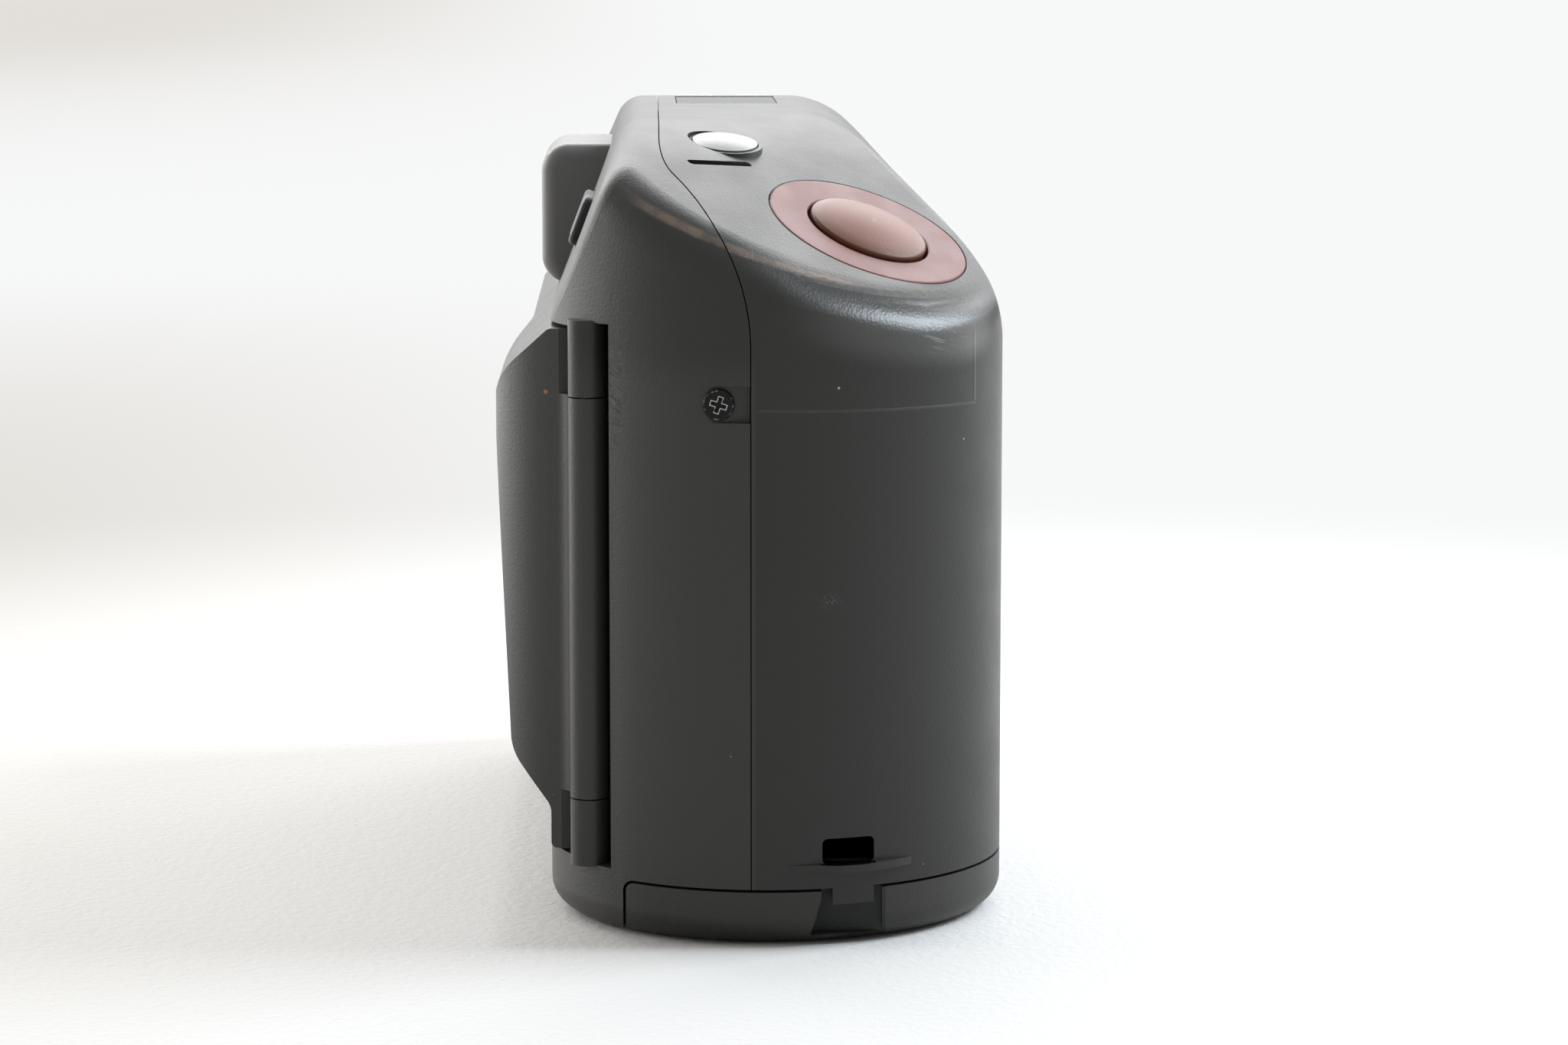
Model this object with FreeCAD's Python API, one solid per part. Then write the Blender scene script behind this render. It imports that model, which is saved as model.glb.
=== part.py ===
import FreeCAD, Part
import math
import os

# Compact 35 mm film camera with a zoom lens that draws back into its body, a grip with the
# battery cells, a hinged back and a hinged battery door. All sizes are in millimetres.
# X runs along the camera with the grip end at minus X, the lens looks along minus Y and
# Z is up. The origin is the middle of the resting face.

V = FreeCAD.Vector

# Body shell
LENGTH = 130.0
HEIGHT = 86.5
GRIP_END_X = -LENGTH / 2
FAR_END_X = LENGTH / 2
BEYOND = 2 * LENGTH
REAR_Y = 22.5
FRONT_Y = -17.0
GRIP_Y = -27.6
NOSE_Y = -1.6
GRIP_EDGE_X = GRIP_END_X + 37.0
GRIP_EDGE_ROUND = 9.0
GRIP_ROOT_X = GRIP_END_X + 42.5
GRIP_ROOT_ROUND = 6.0
FAR_FRONT_ROUND = 13.0
FAR_REAR_ROUND = 9.0
WALL = 2.0
SLOPE = 26.5
SLOPE_START = (FAR_END_X - 36.7) / math.sqrt(2)
SLOPE_BLEND = 45.0
SHOULDER_Z = HEIGHT - 21.7
SHOULDER_TOP_Y = 14.3
FRONT_BEVEL_Y = -10.2
SECTION_PROUD = 0.1
FRONT_BEVEL_ROUND = 20.0
TOP_FRONT_ROUND = 14.0
FAR_SLOPE_X = FAR_END_X - 27.0
FAR_END_Z = HEIGHT - 6.0
FAR_BLEND = 60.0
CREST_ROUND = 5.0
EDGE_ROUND = 3.0
FOOT_ROUND = 3.0

# Parting line between the front and rear covers
PARTING_Y = 0.8
PARTING_BEND_Z = HEIGHT - 12.1
PARTING_BEND = 23.6
PARTING_TOP_Y = 10.3
PARTING_TOP_Z = HEIGHT - 3.55
PARTING_TOP_BEND = 4.5
PARTING_GAP = 0.12

# Lens and film
LENS_X = 3.5
LENS_Z = 38.0
LENS_FRONT_Y = -28.4
BARREL_WALL = 1.7
BARREL_FIT = 0.3
INNER_BARREL_R = 14.6
FILM_WIDTH = 35.0
FRAME_WIDTH = 36.0
FRAME_HEIGHT = 24.0
FILM_Y = 16.9
GATE_THICK = 2.6
CHASSIS_WALL = 1.5

# Chambers
SPOOL_X = GRIP_END_X + 28.0
SPOOL_Y = 12.4
SPOOL_CHAMBER_R = 11.5
CHAMBER_SKIN = 0.8
CARTRIDGE_X = FAR_END_X - 22.0
CARTRIDGE_Y = 7.0
CARTRIDGE_CHAMBER_R = 12.9
CHAMBER_LOW_Z = 13.5
CHAMBER_HIGH_Z = HEIGHT - 26.0

# Back door and its hinge
HINGE_X = GRIP_END_X + 11.4
HINGE_Y = 18.1
KNUCKLE_R = 2.1
HINGE_PIN_R = 0.8
PIN_FIT = 0.06
POCKET_EDGE_Y = 15.8
POCKET_X = GRIP_END_X + 13.8
POCKET_LOW_Z = 7.0
POCKET_HIGH_Z = HEIGHT - 20.5
BARREL_LOW_Z = 14.2
BARREL_HIGH_Z = HEIGHT - 28.7
KNUCKLE_GAP = 0.15
DOOR_LOW_Z = 7.6
DOOR_HIGH_Z = HEIGHT - 21.5
DOOR_FAR_X = FAR_END_X - 7.5
DOOR_BULGE_Y = 28.4
DOOR_BACK_Y = 25.0
DOOR_RIM_Y = 19.4
DOOR_WALL = 2.0
DOOR_GAP = 0.3

# Battery door
BATTERY_DOOR_TOP = 6.1
BATTERY_DOOR_REAR_Y = 14.5
BATTERY_HINGE_X = GRIP_END_X + 48.0
BATTERY_HINGE_R = 1.7
BATTERY_PIN_R = 0.7
BATTERY_DOOR_GAP = 0.3
NOTCH_LOW_Y = -13.3
NOTCH_HIGH_Y = -6.7
CELL_R = 8.5
CELL_HEIGHT = 34.5
CELL_X = (GRIP_END_X + 15.9, GRIP_END_X + 33.5)
CELL_Y = -10.0
CELL_LOW_Z = 4.2

# Strap slot
SLOT_LOW_Y = -12.4
SLOT_HIGH_Y = -6.8
SLOT_LOW_Z = 8.7
SLOT_HIGH_Z = 11.5

# Release ring and buttons
RELEASE_X = GRIP_END_X + 17.0
RELEASE_Y = -12.3
RELEASE_RING_R = 11.3
RELEASE_BUTTON_R = 6.6
RING_THICK = 1.6
RING_GAP = 0.12
POWER_X = GRIP_END_X + 28.5
POWER_Y = 3.0
POWER_R = 3.6
POWER_TILT = (5.0, -13.0)
POWER_RIM_R = 4.2
POWER_RIM_RISE = 0.0

TOP_BUTTON_X = FAR_END_X - 29.5
TOP_BUTTON_Y = (-1.5, 5.5)
TOP_BUTTON_R = 2.4
DISPLAY = ((10.0, 30.0), (-4.0, 8.0))
BUTTON_TRAVEL = 0.5
ROCKER_X = GRIP_END_X + 41.0
ROCKER_Z = HEIGHT - 11.5

# Windows and finder
FINDER_X = 7.5
FINDER_Z = HEIGHT - 15.0
FINDER_WIDE = 13.0
FINDER_TALL = 8.0
EYEPIECE_X = (-4.6, 19.6)
EYEPIECE_Z = (HEIGHT - 20.5, HEIGHT - 4.1)
EYEPIECE_Y = 24.0
FOCUS_X = (-6.0, 21.5)
FOCUS_R = 2.6
LAMP_X = -13.0
LAMP_R = 1.6
FLASH_X = (FAR_END_X - 38.0, FAR_END_X - 14.0)
FLASH_TALL = 10.0
GLASS_THICK = 1.6
FIT = 0.1

# Fasteners and socket
SCREW_R = 0.8
SCREW_HEAD_R = 1.7
END_SCREW_Y = 4.2
END_SCREW_Z = HEIGHT - 28.4
FOOT_SCREWS = ((FAR_END_X - 29.0, 13.0), (FAR_END_X - 17.0, -3.0), (-8.0, 12.0))
SOCKET_X = 18.0
SOCKET_Y = -5.5
SOCKET_R = 5.5
SOCKET_BORE_R = 2.6
SOCKET_DEPTH = 6.0

DIAGONAL = V(-1, -1, 0).normalize()


def in_plan(p):
    return V(p.x, p.y, 0)


def in_section(p):
    return V(0, p.x, p.y)


def in_elevation(p):
    return V(p.x, 0, p.y)


def in_diagonal(p):
    return DIAGONAL * p.x + V(0, 0, p.y)


def outline(corners, place):
    """Closed wire through corners (u, v) or (u, v, radius), rounded with tangent arcs."""
    count = len(corners)
    points = [V(c[0], c[1], 0) for c in corners]
    starts, middles, ends = [], [], []
    for i, corner in enumerate(corners):
        point = points[i]
        radius = corner[2] if len(corner) > 2 else 0.0
        if not radius:
            starts.append(point)
            middles.append(None)
            ends.append(point)
            continue
        back = (points[i - 1] - point).normalize()
        ahead = (points[(i + 1) % count] - point).normalize()
        half = back.getAngle(ahead) / 2
        reach = radius / math.tan(half)
        inward = (back + ahead).normalize()
        starts.append(point + back * reach)
        middles.append(point + inward * (radius / math.sin(half) - radius))
        ends.append(point + ahead * reach)
    edges = []
    for i in range(count):
        after = starts[(i + 1) % count]
        if middles[i] is not None:
            edges.append(Part.Arc(place(starts[i]), place(middles[i]), place(ends[i])).toShape())
        if (after - ends[i]).Length > 1e-6:
            edges.append(Part.LineSegment(place(ends[i]), place(after)).toShape())
    return Part.Wire(edges)


def slab(corners, place, low, high, inset=0.0):
    """Straight prism over an outline, from low to high along the outline's normal."""
    face = Part.Face(outline(corners, place))
    if inset:
        face = face.makeOffset2D(-inset)
    along = place(V(1, 0, 0)).cross(place(V(0, 1, 0)))
    if place is in_elevation:
        along = along * -1
    face.translate(along * low)
    return face.extrude(along * (high - low))


def box(x, y, z):
    size = V(x[1] - x[0], y[1] - y[0], z[1] - z[0])
    return Part.makeBox(size.x, size.y, size.z, V(x[0], y[0], z[0]))


def rod(radius, start, end):
    """Round bar between two points."""
    path = end - start
    return Part.makeCylinder(radius, path.Length, start, path)


def tube(outer, inner, start, end):
    return rod(outer, start, end).cut(rod(inner, start, end))


def join(*shapes):
    return shapes[0].multiFuse(list(shapes[1:])).removeSplitter()


def cut(shape, *tools):
    for tool in tools:
        shape = shape.cut(tool)
    return shape


def only(shape, *regions):
    for region in regions:
        shape = shape.common(region)
    return shape


def turn_angle(shape, edge):
    """Angle between the two faces that meet along an edge, in degrees."""
    faces = shape.ancestorsOfType(edge, Part.Face)
    if len(faces) < 2:
        return 0.0
    middle = edge.valueAt((edge.FirstParameter + edge.LastParameter) / 2)
    normals = [face.normalAt(*face.Surface.parameter(middle)) for face in faces[:2]]
    return math.degrees(normals[0].getAngle(normals[1]))


def soften(shape, radius, least_angle, wanted):
    """Round the edges that turn sharper than least_angle and whose middle is wanted."""
    edges = []
    for edge in shape.Edges:
        middle = edge.valueAt((edge.FirstParameter + edge.LastParameter) / 2)
        if wanted(middle) and turn_angle(shape, edge) > least_angle:
            edges.append(edge)
    return shape.makeFillet(radius, edges).Solids[0]


def gear(teeth, module, low, high, bore, phase=0.0):
    """Spur gear on the Z axis with straight sided teeth cut a little slim."""
    pitch = teeth * module / 2
    tip = pitch + 0.8 * module
    root = pitch - 1.1 * module
    step = 2 * math.pi / teeth
    points = []
    for i in range(teeth):
        centre = i * step + phase
        for radius, share in ((root, -0.30), (tip, -0.11), (tip, 0.11), (root, 0.30)):
            angle = centre + share * step
            points.append(V(radius * math.cos(angle), radius * math.sin(angle), low))
    points.append(points[0])
    body = Part.Face(Part.makePolygon(points)).extrude(V(0, 0, high - low))
    return body.cut(rod(bore, V(0, 0, low), V(0, 0, high))) if bore else body


def moved(shape, offset):
    copy = shape.copy()
    copy.translate(offset)
    return copy


# Body shell

SLOPE_RISE = math.tan(math.radians(SLOPE))
LEAN = math.degrees(math.atan2(REAR_Y - SHOULDER_TOP_Y, HEIGHT - SHOULDER_Z))


def envelope(inset=0.0):
    """Outer form of the closed body, or the same form drawn in by inset."""
    far = BEYOND
    plan = slab([(GRIP_END_X, REAR_Y, REAR_Y - NOSE_Y),
                 (GRIP_END_X, GRIP_Y, NOSE_Y - GRIP_Y),
                 (GRIP_EDGE_X, GRIP_Y, GRIP_EDGE_ROUND),
                 (GRIP_ROOT_X, FRONT_Y, GRIP_ROOT_ROUND),
                 (FAR_END_X, FRONT_Y, FAR_FRONT_ROUND),
                 (FAR_END_X, REAR_Y, FAR_REAR_ROUND)], in_plan, -far, far, inset)
    rear, front, top = REAR_Y + SECTION_PROUD, GRIP_Y - SECTION_PROUD, HEIGHT + SECTION_PROUD
    lean = math.tan(math.radians(LEAN))
    bevel_z = HEIGHT - (FRONT_BEVEL_Y - front)
    section = slab([(rear, 0), (rear, SHOULDER_Z - SECTION_PROUD / lean, 4.0),
                    (SHOULDER_TOP_Y - SECTION_PROUD * lean, top, 4.0),
                    (FRONT_BEVEL_Y + SECTION_PROUD, top, TOP_FRONT_ROUND),
                    (front, bevel_z, FRONT_BEVEL_ROUND), (front, 0)], in_section, -far, far, inset)
    drop = (far - SLOPE_START) * SLOPE_RISE
    slope = slab([(-far, HEIGHT), (SLOPE_START, HEIGHT, SLOPE_BLEND), (far, HEIGHT - drop),
                  (far, -far), (-far, -far)], in_diagonal, -far, far, inset)
    end = slab([(-far, HEIGHT), (FAR_SLOPE_X, HEIGHT, FAR_BLEND), (FAR_END_X, FAR_END_Z),
                (FAR_END_X, -far), (-far, -far)], in_elevation, -far, far, inset)
    return only(plan, section, slope, end).removeSplitter().Solids[0]


def rounded_envelope():
    body = envelope()
    end = GRIP_END_X + CREST_ROUND * 2.5
    body = soften(body, CREST_ROUND, 50, lambda p: p.z > SHOULDER_Z and p.x < end and p.y < SHOULDER_TOP_Y)
    body = soften(body, EDGE_ROUND, 20, lambda p: p.z > FOOT_ROUND)
    return soften(body, FOOT_ROUND, 50, lambda p: p.z < FOOT_ROUND)


def shell():
    return rounded_envelope().cut(envelope(WALL))


def front_region(grow):
    """The space in front of the parting line, grown past it or drawn back from it."""
    far = BEYOND
    return slab([(PARTING_Y, -far), (PARTING_Y, PARTING_BEND_Z, PARTING_BEND),
                 (PARTING_TOP_Y, PARTING_TOP_Z, PARTING_TOP_BEND), (PARTING_TOP_Y, far),
                 (-far, far), (-far, -far)], in_section, -far, far, -grow)


def battery_region(draw_back):
    far = BEYOND
    return slab([(BATTERY_DOOR_REAR_Y, -far), (BATTERY_DOOR_REAR_Y, BATTERY_DOOR_TOP, 1.2),
                 (-far, BATTERY_DOOR_TOP), (-far, -far)], in_section, -far,
                BATTERY_HINGE_X - draw_back, draw_back)


def along_x(radius, y, z, low, high):
    return rod(radius, V(low, y, z), V(high, y, z))


def along_y(radius, x, z, low, high):
    return rod(radius, V(x, low, z), V(x, high, z))


def along_z(radius, x, y, low, high):
    return rod(radius, V(x, y, low), V(x, y, high))


def crown(x, y):
    """Height and tilt of the top surface towards the grip corner at a place in plan."""
    q = DIAGONAL.x * x + DIAGONAL.y * y
    start = SLOPE_START - SLOPE_BLEND * math.tan(math.radians(SLOPE) / 2)
    if q <= start:
        return HEIGHT, 0.0
    turned = math.degrees(math.asin(min(1.0, (q - start) / SLOPE_BLEND)))
    if turned < SLOPE:
        return HEIGHT - SLOPE_BLEND * (1 - math.cos(math.radians(turned))), turned
    return HEIGHT - (q - SLOPE_START) * SLOPE_RISE, SLOPE


def on_top(shape, x, y):
    """Set a shape that is drawn about Z on the sloping top of the body."""
    height, tilt = crown(x, y)
    copy = shape.copy()
    copy.rotate(V(0, 0, 0), V(1, -1, 0), tilt)
    copy.translate(V(x, y, height))
    return copy


def on_rim(shape):
    """Set a shape that is drawn about Z on the level rim of the power button."""
    copy = shape.copy()
    copy.rotate(V(0, 0, 0), V(0, 1, 0), POWER_TILT[1])
    copy.rotate(V(0, 0, 0), V(1, 0, 0), POWER_TILT[0])
    copy.translate(V(POWER_X, POWER_Y, crown(POWER_X, POWER_Y)[0]))
    return copy


def on_shoulder(shape, x, z):
    """Set a shape that is drawn about Y on the leaning rear shoulder."""
    copy = shape.copy()
    copy.rotate(V(0, 0, 0), V(1, 0, 0), LEAN)
    run = (z - SHOULDER_Z) * math.tan(math.radians(LEAN))
    copy.translate(V(x, REAR_Y - run, z))
    return copy


def on_nose(angle, radius):
    """Place in plan on a circle about the middle of the rounded grip end."""
    return (GRIP_END_X + (NOSE_Y - GRIP_Y) - radius * math.cos(math.radians(angle)),
            NOSE_Y - radius * math.sin(math.radians(angle)))


# Windows in the front face

WINDOW_BACK_Y = FRONT_Y + WALL


def front_openings(grow):
    """The places of the glass windows in the front face."""
    wide, tall = FINDER_WIDE / 2 + grow, FINDER_TALL / 2 + grow
    depth = (FRONT_Y, FRONT_Y + GLASS_THICK)
    finder = box((FINDER_X - wide, FINDER_X + wide), depth, (FINDER_Z - tall, FINDER_Z + tall))
    focus = [along_y(FOCUS_R + grow, x, FINDER_Z, *depth) for x in FOCUS_X]
    lamp = along_y(LAMP_R + grow, LAMP_X, FINDER_Z, *depth)
    flash_tall = FLASH_TALL / 2 + grow
    flash = box((FLASH_X[0] - grow, FLASH_X[1] + grow), depth,
                (FINDER_Z - flash_tall, FINDER_Z + flash_tall))
    return {"finder": finder, "focus": focus, "lamp": lamp, "flash": flash}


def finder_window():
    return front_openings(0.0)["finder"]


def focus_windows():
    return Part.makeCompound(front_openings(0.0)["focus"])


def timer_lamp():
    base = front_openings(0.0)["lamp"]
    return join(base, along_y(LAMP_R * 0.7, LAMP_X, FINDER_Z, FRONT_Y, FRONT_Y + 4.0))


def flash_window():
    """Clear cover with upright ribs on its inner side."""
    plate = front_openings(0.0)["flash"]
    ribs = []
    x = FLASH_X[0] + 1.5
    while x < FLASH_X[1] - 1:
        ribs.append(along_z(0.35, x, FRONT_Y + GLASS_THICK, FINDER_Z - FLASH_TALL / 2 + 1.1,
                            FINDER_Z + FLASH_TALL / 2 - 1.1))
        x += 1.5
    return join(plate, *ribs)


def flash_reflector():
    low_x, high_x = FLASH_X[0] + 0.8, FLASH_X[1] - 0.8
    half = FLASH_TALL / 2
    front, back = WINDOW_BACK_Y + 0.2, WINDOW_BACK_Y + 8.0
    block = box((low_x, high_x), (front, back), (FINDER_Z - half, FINDER_Z + half))
    trough = along_x(half - 0.6, front + 1.0, FINDER_Z, low_x + 0.6, high_x - 0.6)
    trough = trough.fuse(box((low_x + 0.6, high_x - 0.6), (front - 1, front + 1.0),
                             (FINDER_Z - half + 0.6, FINDER_Z + half - 0.6)))
    return cut(block, trough, along_x(FLASH_TUBE_R, FLASH_TUBE_Y, FINDER_Z, low_x - 1, high_x + 1))


FLASH_TUBE_R = 1.2
FLASH_TUBE_Y = WINDOW_BACK_Y + 3.2


def flash_tube():
    return along_x(FLASH_TUBE_R, FLASH_TUBE_Y, FINDER_Z, FLASH_X[0] + 0.3, FLASH_X[1] - 0.3)


# Lens

OUTER_BARREL_R = INNER_BARREL_R + BARREL_FIT + BARREL_WALL
FIXED_RING_IN = OUTER_BARREL_R + BARREL_FIT
FIXED_RING_OUT = FIXED_RING_IN + 1.8
LENS_HOLE_R = FIXED_RING_OUT + 0.2
LENS_BACK_Y = -4.5
FIXED_RING_FRONT_Y = FRONT_Y - 3.6
INNER_FRONT_Y = LENS_FRONT_Y
OUTER_FRONT_Y = LENS_FRONT_Y + 3.0
BARREL_BACK_Y = LENS_BACK_Y - 0.5
CAM_GEAR_MODULE = 0.8
CAM_GEAR_TEETH = round(2 * (FIXED_RING_OUT + 3.7) / CAM_GEAR_MODULE)
PINION_TEETH = 8
CAM_GEAR_Y = (-14.6, -11.6)
GEAR_SLACK = 0.1
ZOOM_PINION_DROP = 60.0
ZOOM_PINION_REACH = (CAM_GEAR_TEETH + PINION_TEETH) * CAM_GEAR_MODULE / 2 + GEAR_SLACK
ZOOM_PINION_X = LENS_X + ZOOM_PINION_REACH * math.cos(math.radians(ZOOM_PINION_DROP))
ZOOM_PINION_Z = LENS_Z - ZOOM_PINION_REACH * math.sin(math.radians(ZOOM_PINION_DROP))
SHUTTER_OPENING = (14.6, 9.6)
BLADE_TRAVEL = 5.0
BLADE_THICK = 0.7
CAP_THICK = 1.2


def lens_tube(outer, inner, low, high):
    return along_y(outer, LENS_X, LENS_Z, low, high).cut(
        along_y(inner, LENS_X, LENS_Z, low, high))


def lens_ring():
    """Fixed guide tube of the lens with its trim flange outside the front cover."""
    sleeve = lens_tube(FIXED_RING_OUT, FIXED_RING_IN, FRONT_Y, LENS_BACK_Y)
    flange = lens_tube(FIXED_RING_OUT + 1.3, FIXED_RING_IN, FIXED_RING_FRONT_Y, FRONT_Y)
    ring = join(sleeve, flange)
    front = FIXED_RING_FRONT_Y
    return soften(ring, 0.8, 50, lambda p: p.y < front + 0.01 and
                  math.hypot(p.x - LENS_X, p.z - LENS_Z) > FIXED_RING_OUT)


def zoom_barrel_outer():
    body = lens_tube(OUTER_BARREL_R, OUTER_BARREL_R - BARREL_WALL, OUTER_FRONT_Y, BARREL_BACK_Y)
    front = OUTER_FRONT_Y
    return soften(body, 0.5, 50, lambda p: p.y < front + 0.01)


def zoom_barrel_inner():
    """Inner barrel with its face plate and the oblong opening for the barrier blades."""
    back = LENS_BACK_Y - 4.0
    tube_part = lens_tube(INNER_BARREL_R, INNER_BARREL_R - BARREL_WALL,
                          INNER_FRONT_Y + CAP_THICK, back)
    plate = along_y(INNER_BARREL_R, LENS_X, LENS_Z, INNER_FRONT_Y, INNER_FRONT_Y + CAP_THICK)
    wide, tall = SHUTTER_OPENING[0] / 2, SHUTTER_OPENING[1] / 2
    window = slab([(LENS_X - wide, LENS_Z - tall, 2), (LENS_X + wide, LENS_Z - tall, 2),
                   (LENS_X + wide, LENS_Z + tall, 2), (LENS_X - wide, LENS_Z + tall, 2)],
                  in_elevation, INNER_FRONT_Y - 1, INNER_FRONT_Y + CAP_THICK + 1)
    cell = lens_tube(INNER_BARREL_R - BARREL_WALL + 0.1, FRONT_LENS_R, *FRONT_CELL_Y)
    body = join(tube_part, plate.cut(window), cell)
    front = INNER_FRONT_Y
    return soften(body, 0.8, 50, lambda p: p.y < front + 0.01 and
                  math.hypot(p.x - LENS_X, p.z - LENS_Z) > INNER_BARREL_R - 1)


def barrier_blade(side):
    """One of the two blades behind the face plate; side is 1 above and minus 1 below."""
    front = INNER_FRONT_Y + CAP_THICK + 0.2
    half = SHUTTER_OPENING[1] / 2 + 0.35
    width = SHUTTER_OPENING[0] / 2 + 1.0
    low, high = LENS_Z + side * 0.04, LENS_Z + side * half
    plate = box((LENS_X - width, LENS_X + width), (front, front + BLADE_THICK),
                (min(low, high), max(low, high)))
    room = INNER_BARREL_R - BARREL_WALL - 0.3
    return only(plate, along_y(room, LENS_X, LENS_Z - side * BLADE_TRAVEL, front - 1, front + 2))


FRONT_CELL_Y = (INNER_FRONT_Y + CAP_THICK + 0.2 + BLADE_THICK + 0.25, INNER_FRONT_Y + 8.5)
FRONT_LENS_R = 8.5
SHUTTER_UNIT_Y = (FRONT_CELL_Y[1] + 0.5, FRONT_CELL_Y[1] + 7.0)
REAR_LENS_R = 6.5


def domed_lens(radius, thick, crown_height, front):
    """Lens element that bulges towards minus Y from a flat rear face."""
    bulge = (radius ** 2 + crown_height ** 2) / (2 * crown_height)
    body = along_y(radius, LENS_X, LENS_Z, front, front + thick)
    ball = Part.makeSphere(bulge, V(LENS_X, front + bulge, LENS_Z))
    return only(body, ball)


def front_lens():
    return domed_lens(FRONT_LENS_R, 4.0, 1.6, FRONT_CELL_Y[0] + 0.2)


def rear_lens():
    return domed_lens(REAR_LENS_R, 2.6, 1.0, SHUTTER_UNIT_Y[1] - 2.8)


def shutter_unit():
    """Ring inside the inner barrel that carries the rear lens and narrows the light path."""
    body = lens_tube(INNER_BARREL_R - BARREL_WALL, 4.2, *SHUTTER_UNIT_Y)
    seat = along_y(REAR_LENS_R, LENS_X, LENS_Z, SHUTTER_UNIT_Y[1] - 2.8, SHUTTER_UNIT_Y[1])
    return cut(body, seat)


def gear_along_y(shape, x, z, low):
    """Turn a gear drawn about Z so that it runs along Y from low."""
    copy = shape.copy()
    copy.rotate(V(0, 0, 0), V(1, 0, 0), -90)
    copy.translate(V(x, low, z))
    return copy


def cam_ring():
    thick = CAM_GEAR_Y[1] - CAM_GEAR_Y[0]
    toothed = gear(CAM_GEAR_TEETH, CAM_GEAR_MODULE, 0.0, thick, FIXED_RING_OUT + PIN_FIT)
    return gear_along_y(toothed, LENS_X, LENS_Z, CAM_GEAR_Y[0])


def zoom_pinion():
    """Small gear on the motor shaft, turned half a tooth so that it meshes at rest."""
    thick = CAM_GEAR_Y[1] - CAM_GEAR_Y[0]
    ring_step = 360.0 / CAM_GEAR_TEETH
    ring_phase = (ZOOM_PINION_DROP / ring_step) % 1.0
    own_step = 360.0 / PINION_TEETH
    toward = ZOOM_PINION_DROP + 180.0
    phase = toward + own_step * (0.5 + ring_phase)
    toothed = gear(PINION_TEETH, CAM_GEAR_MODULE, 0.0, thick, 0, math.radians(phase))
    toothed = toothed.fuse(rod(0.75, V(0, 0, 0), V(0, 0, thick + 3.5)))
    return gear_along_y(toothed, ZOOM_PINION_X, ZOOM_PINION_Z, CAM_GEAR_Y[0])


def zoom_motor():
    shaft_end = CAM_GEAR_Y[1] + 3.6
    body = along_y(4.6, ZOOM_PINION_X, ZOOM_PINION_Z, CAM_GEAR_Y[1] + 2.6, 10.0)
    socket = along_y(0.75 + PIN_FIT, ZOOM_PINION_X, ZOOM_PINION_Z, CAM_GEAR_Y[1], shaft_end)
    return cut(body, socket)


# Film body

GATE_Y = (FILM_Y - 0.5 - GATE_THICK, FILM_Y - 0.5)
FRAME_EDGE_X = (POCKET_X + 2.2, DOOR_FAR_X - 0.4)
FRAME_EDGE_Z = (DOOR_LOW_Z + 0.2, DOOR_HIGH_Z - 0.2)
SPROCKET_X = LENS_X - FRAME_WIDTH / 2 - 5.9
SPROCKET_Y = GATE_Y[1] - 3.6
SPROCKET_R = 3.3
SPROCKET_TIP_R = 4.0
PERFORATION_Z = 14.1
SPOOL_R = 6.5
SPOOL_BORE_R = 5.4
MOTOR_R = 5.0
SPOOL_GEAR_Z = (DOOR_HIGH_Z + 0.2, DOOR_HIGH_Z + 2.4)
MOTOR_GEAR_Z = (SPOOL_GEAR_Z[1] + 0.6, SPOOL_GEAR_Z[1] + 2.6)
TRAIN_MODULE = 0.5
SPOOL_TEETH = 22
IDLER_SMALL_TEETH = 12
IDLER_BIG_TEETH = 26
MOTOR_TEETH = 8
TRAIN_REACH = (SPOOL_TEETH + IDLER_SMALL_TEETH) * TRAIN_MODULE / 2 + GEAR_SLACK
IDLER_TURN = -60.0
IDLER_X = SPOOL_X + TRAIN_REACH * math.cos(math.radians(IDLER_TURN))
IDLER_Y = SPOOL_Y + TRAIN_REACH * math.sin(math.radians(IDLER_TURN))
IDLER_PIN_R = 1.0
TUNNEL_WALL = 1.6
FORK_R = 3.0


def light_tunnel(grow, low, high):
    """Square funnel from the film frame towards the lens."""
    near = (FRAME_WIDTH / 2 + grow, FRAME_HEIGHT / 2 + grow)
    wires = []
    for y, share in ((low, 0.72), (high, 1.0)):
        half_x, half_z = near[0] * share, near[1] * share
        corners = [V(LENS_X - half_x, y, LENS_Z - half_z), V(LENS_X + half_x, y, LENS_Z - half_z),
                   V(LENS_X + half_x, y, LENS_Z + half_z), V(LENS_X - half_x, y, LENS_Z + half_z)]
        wires.append(Part.makePolygon(corners + [corners[0]]))
    return Part.makeLoft(wires, True, True)


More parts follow.
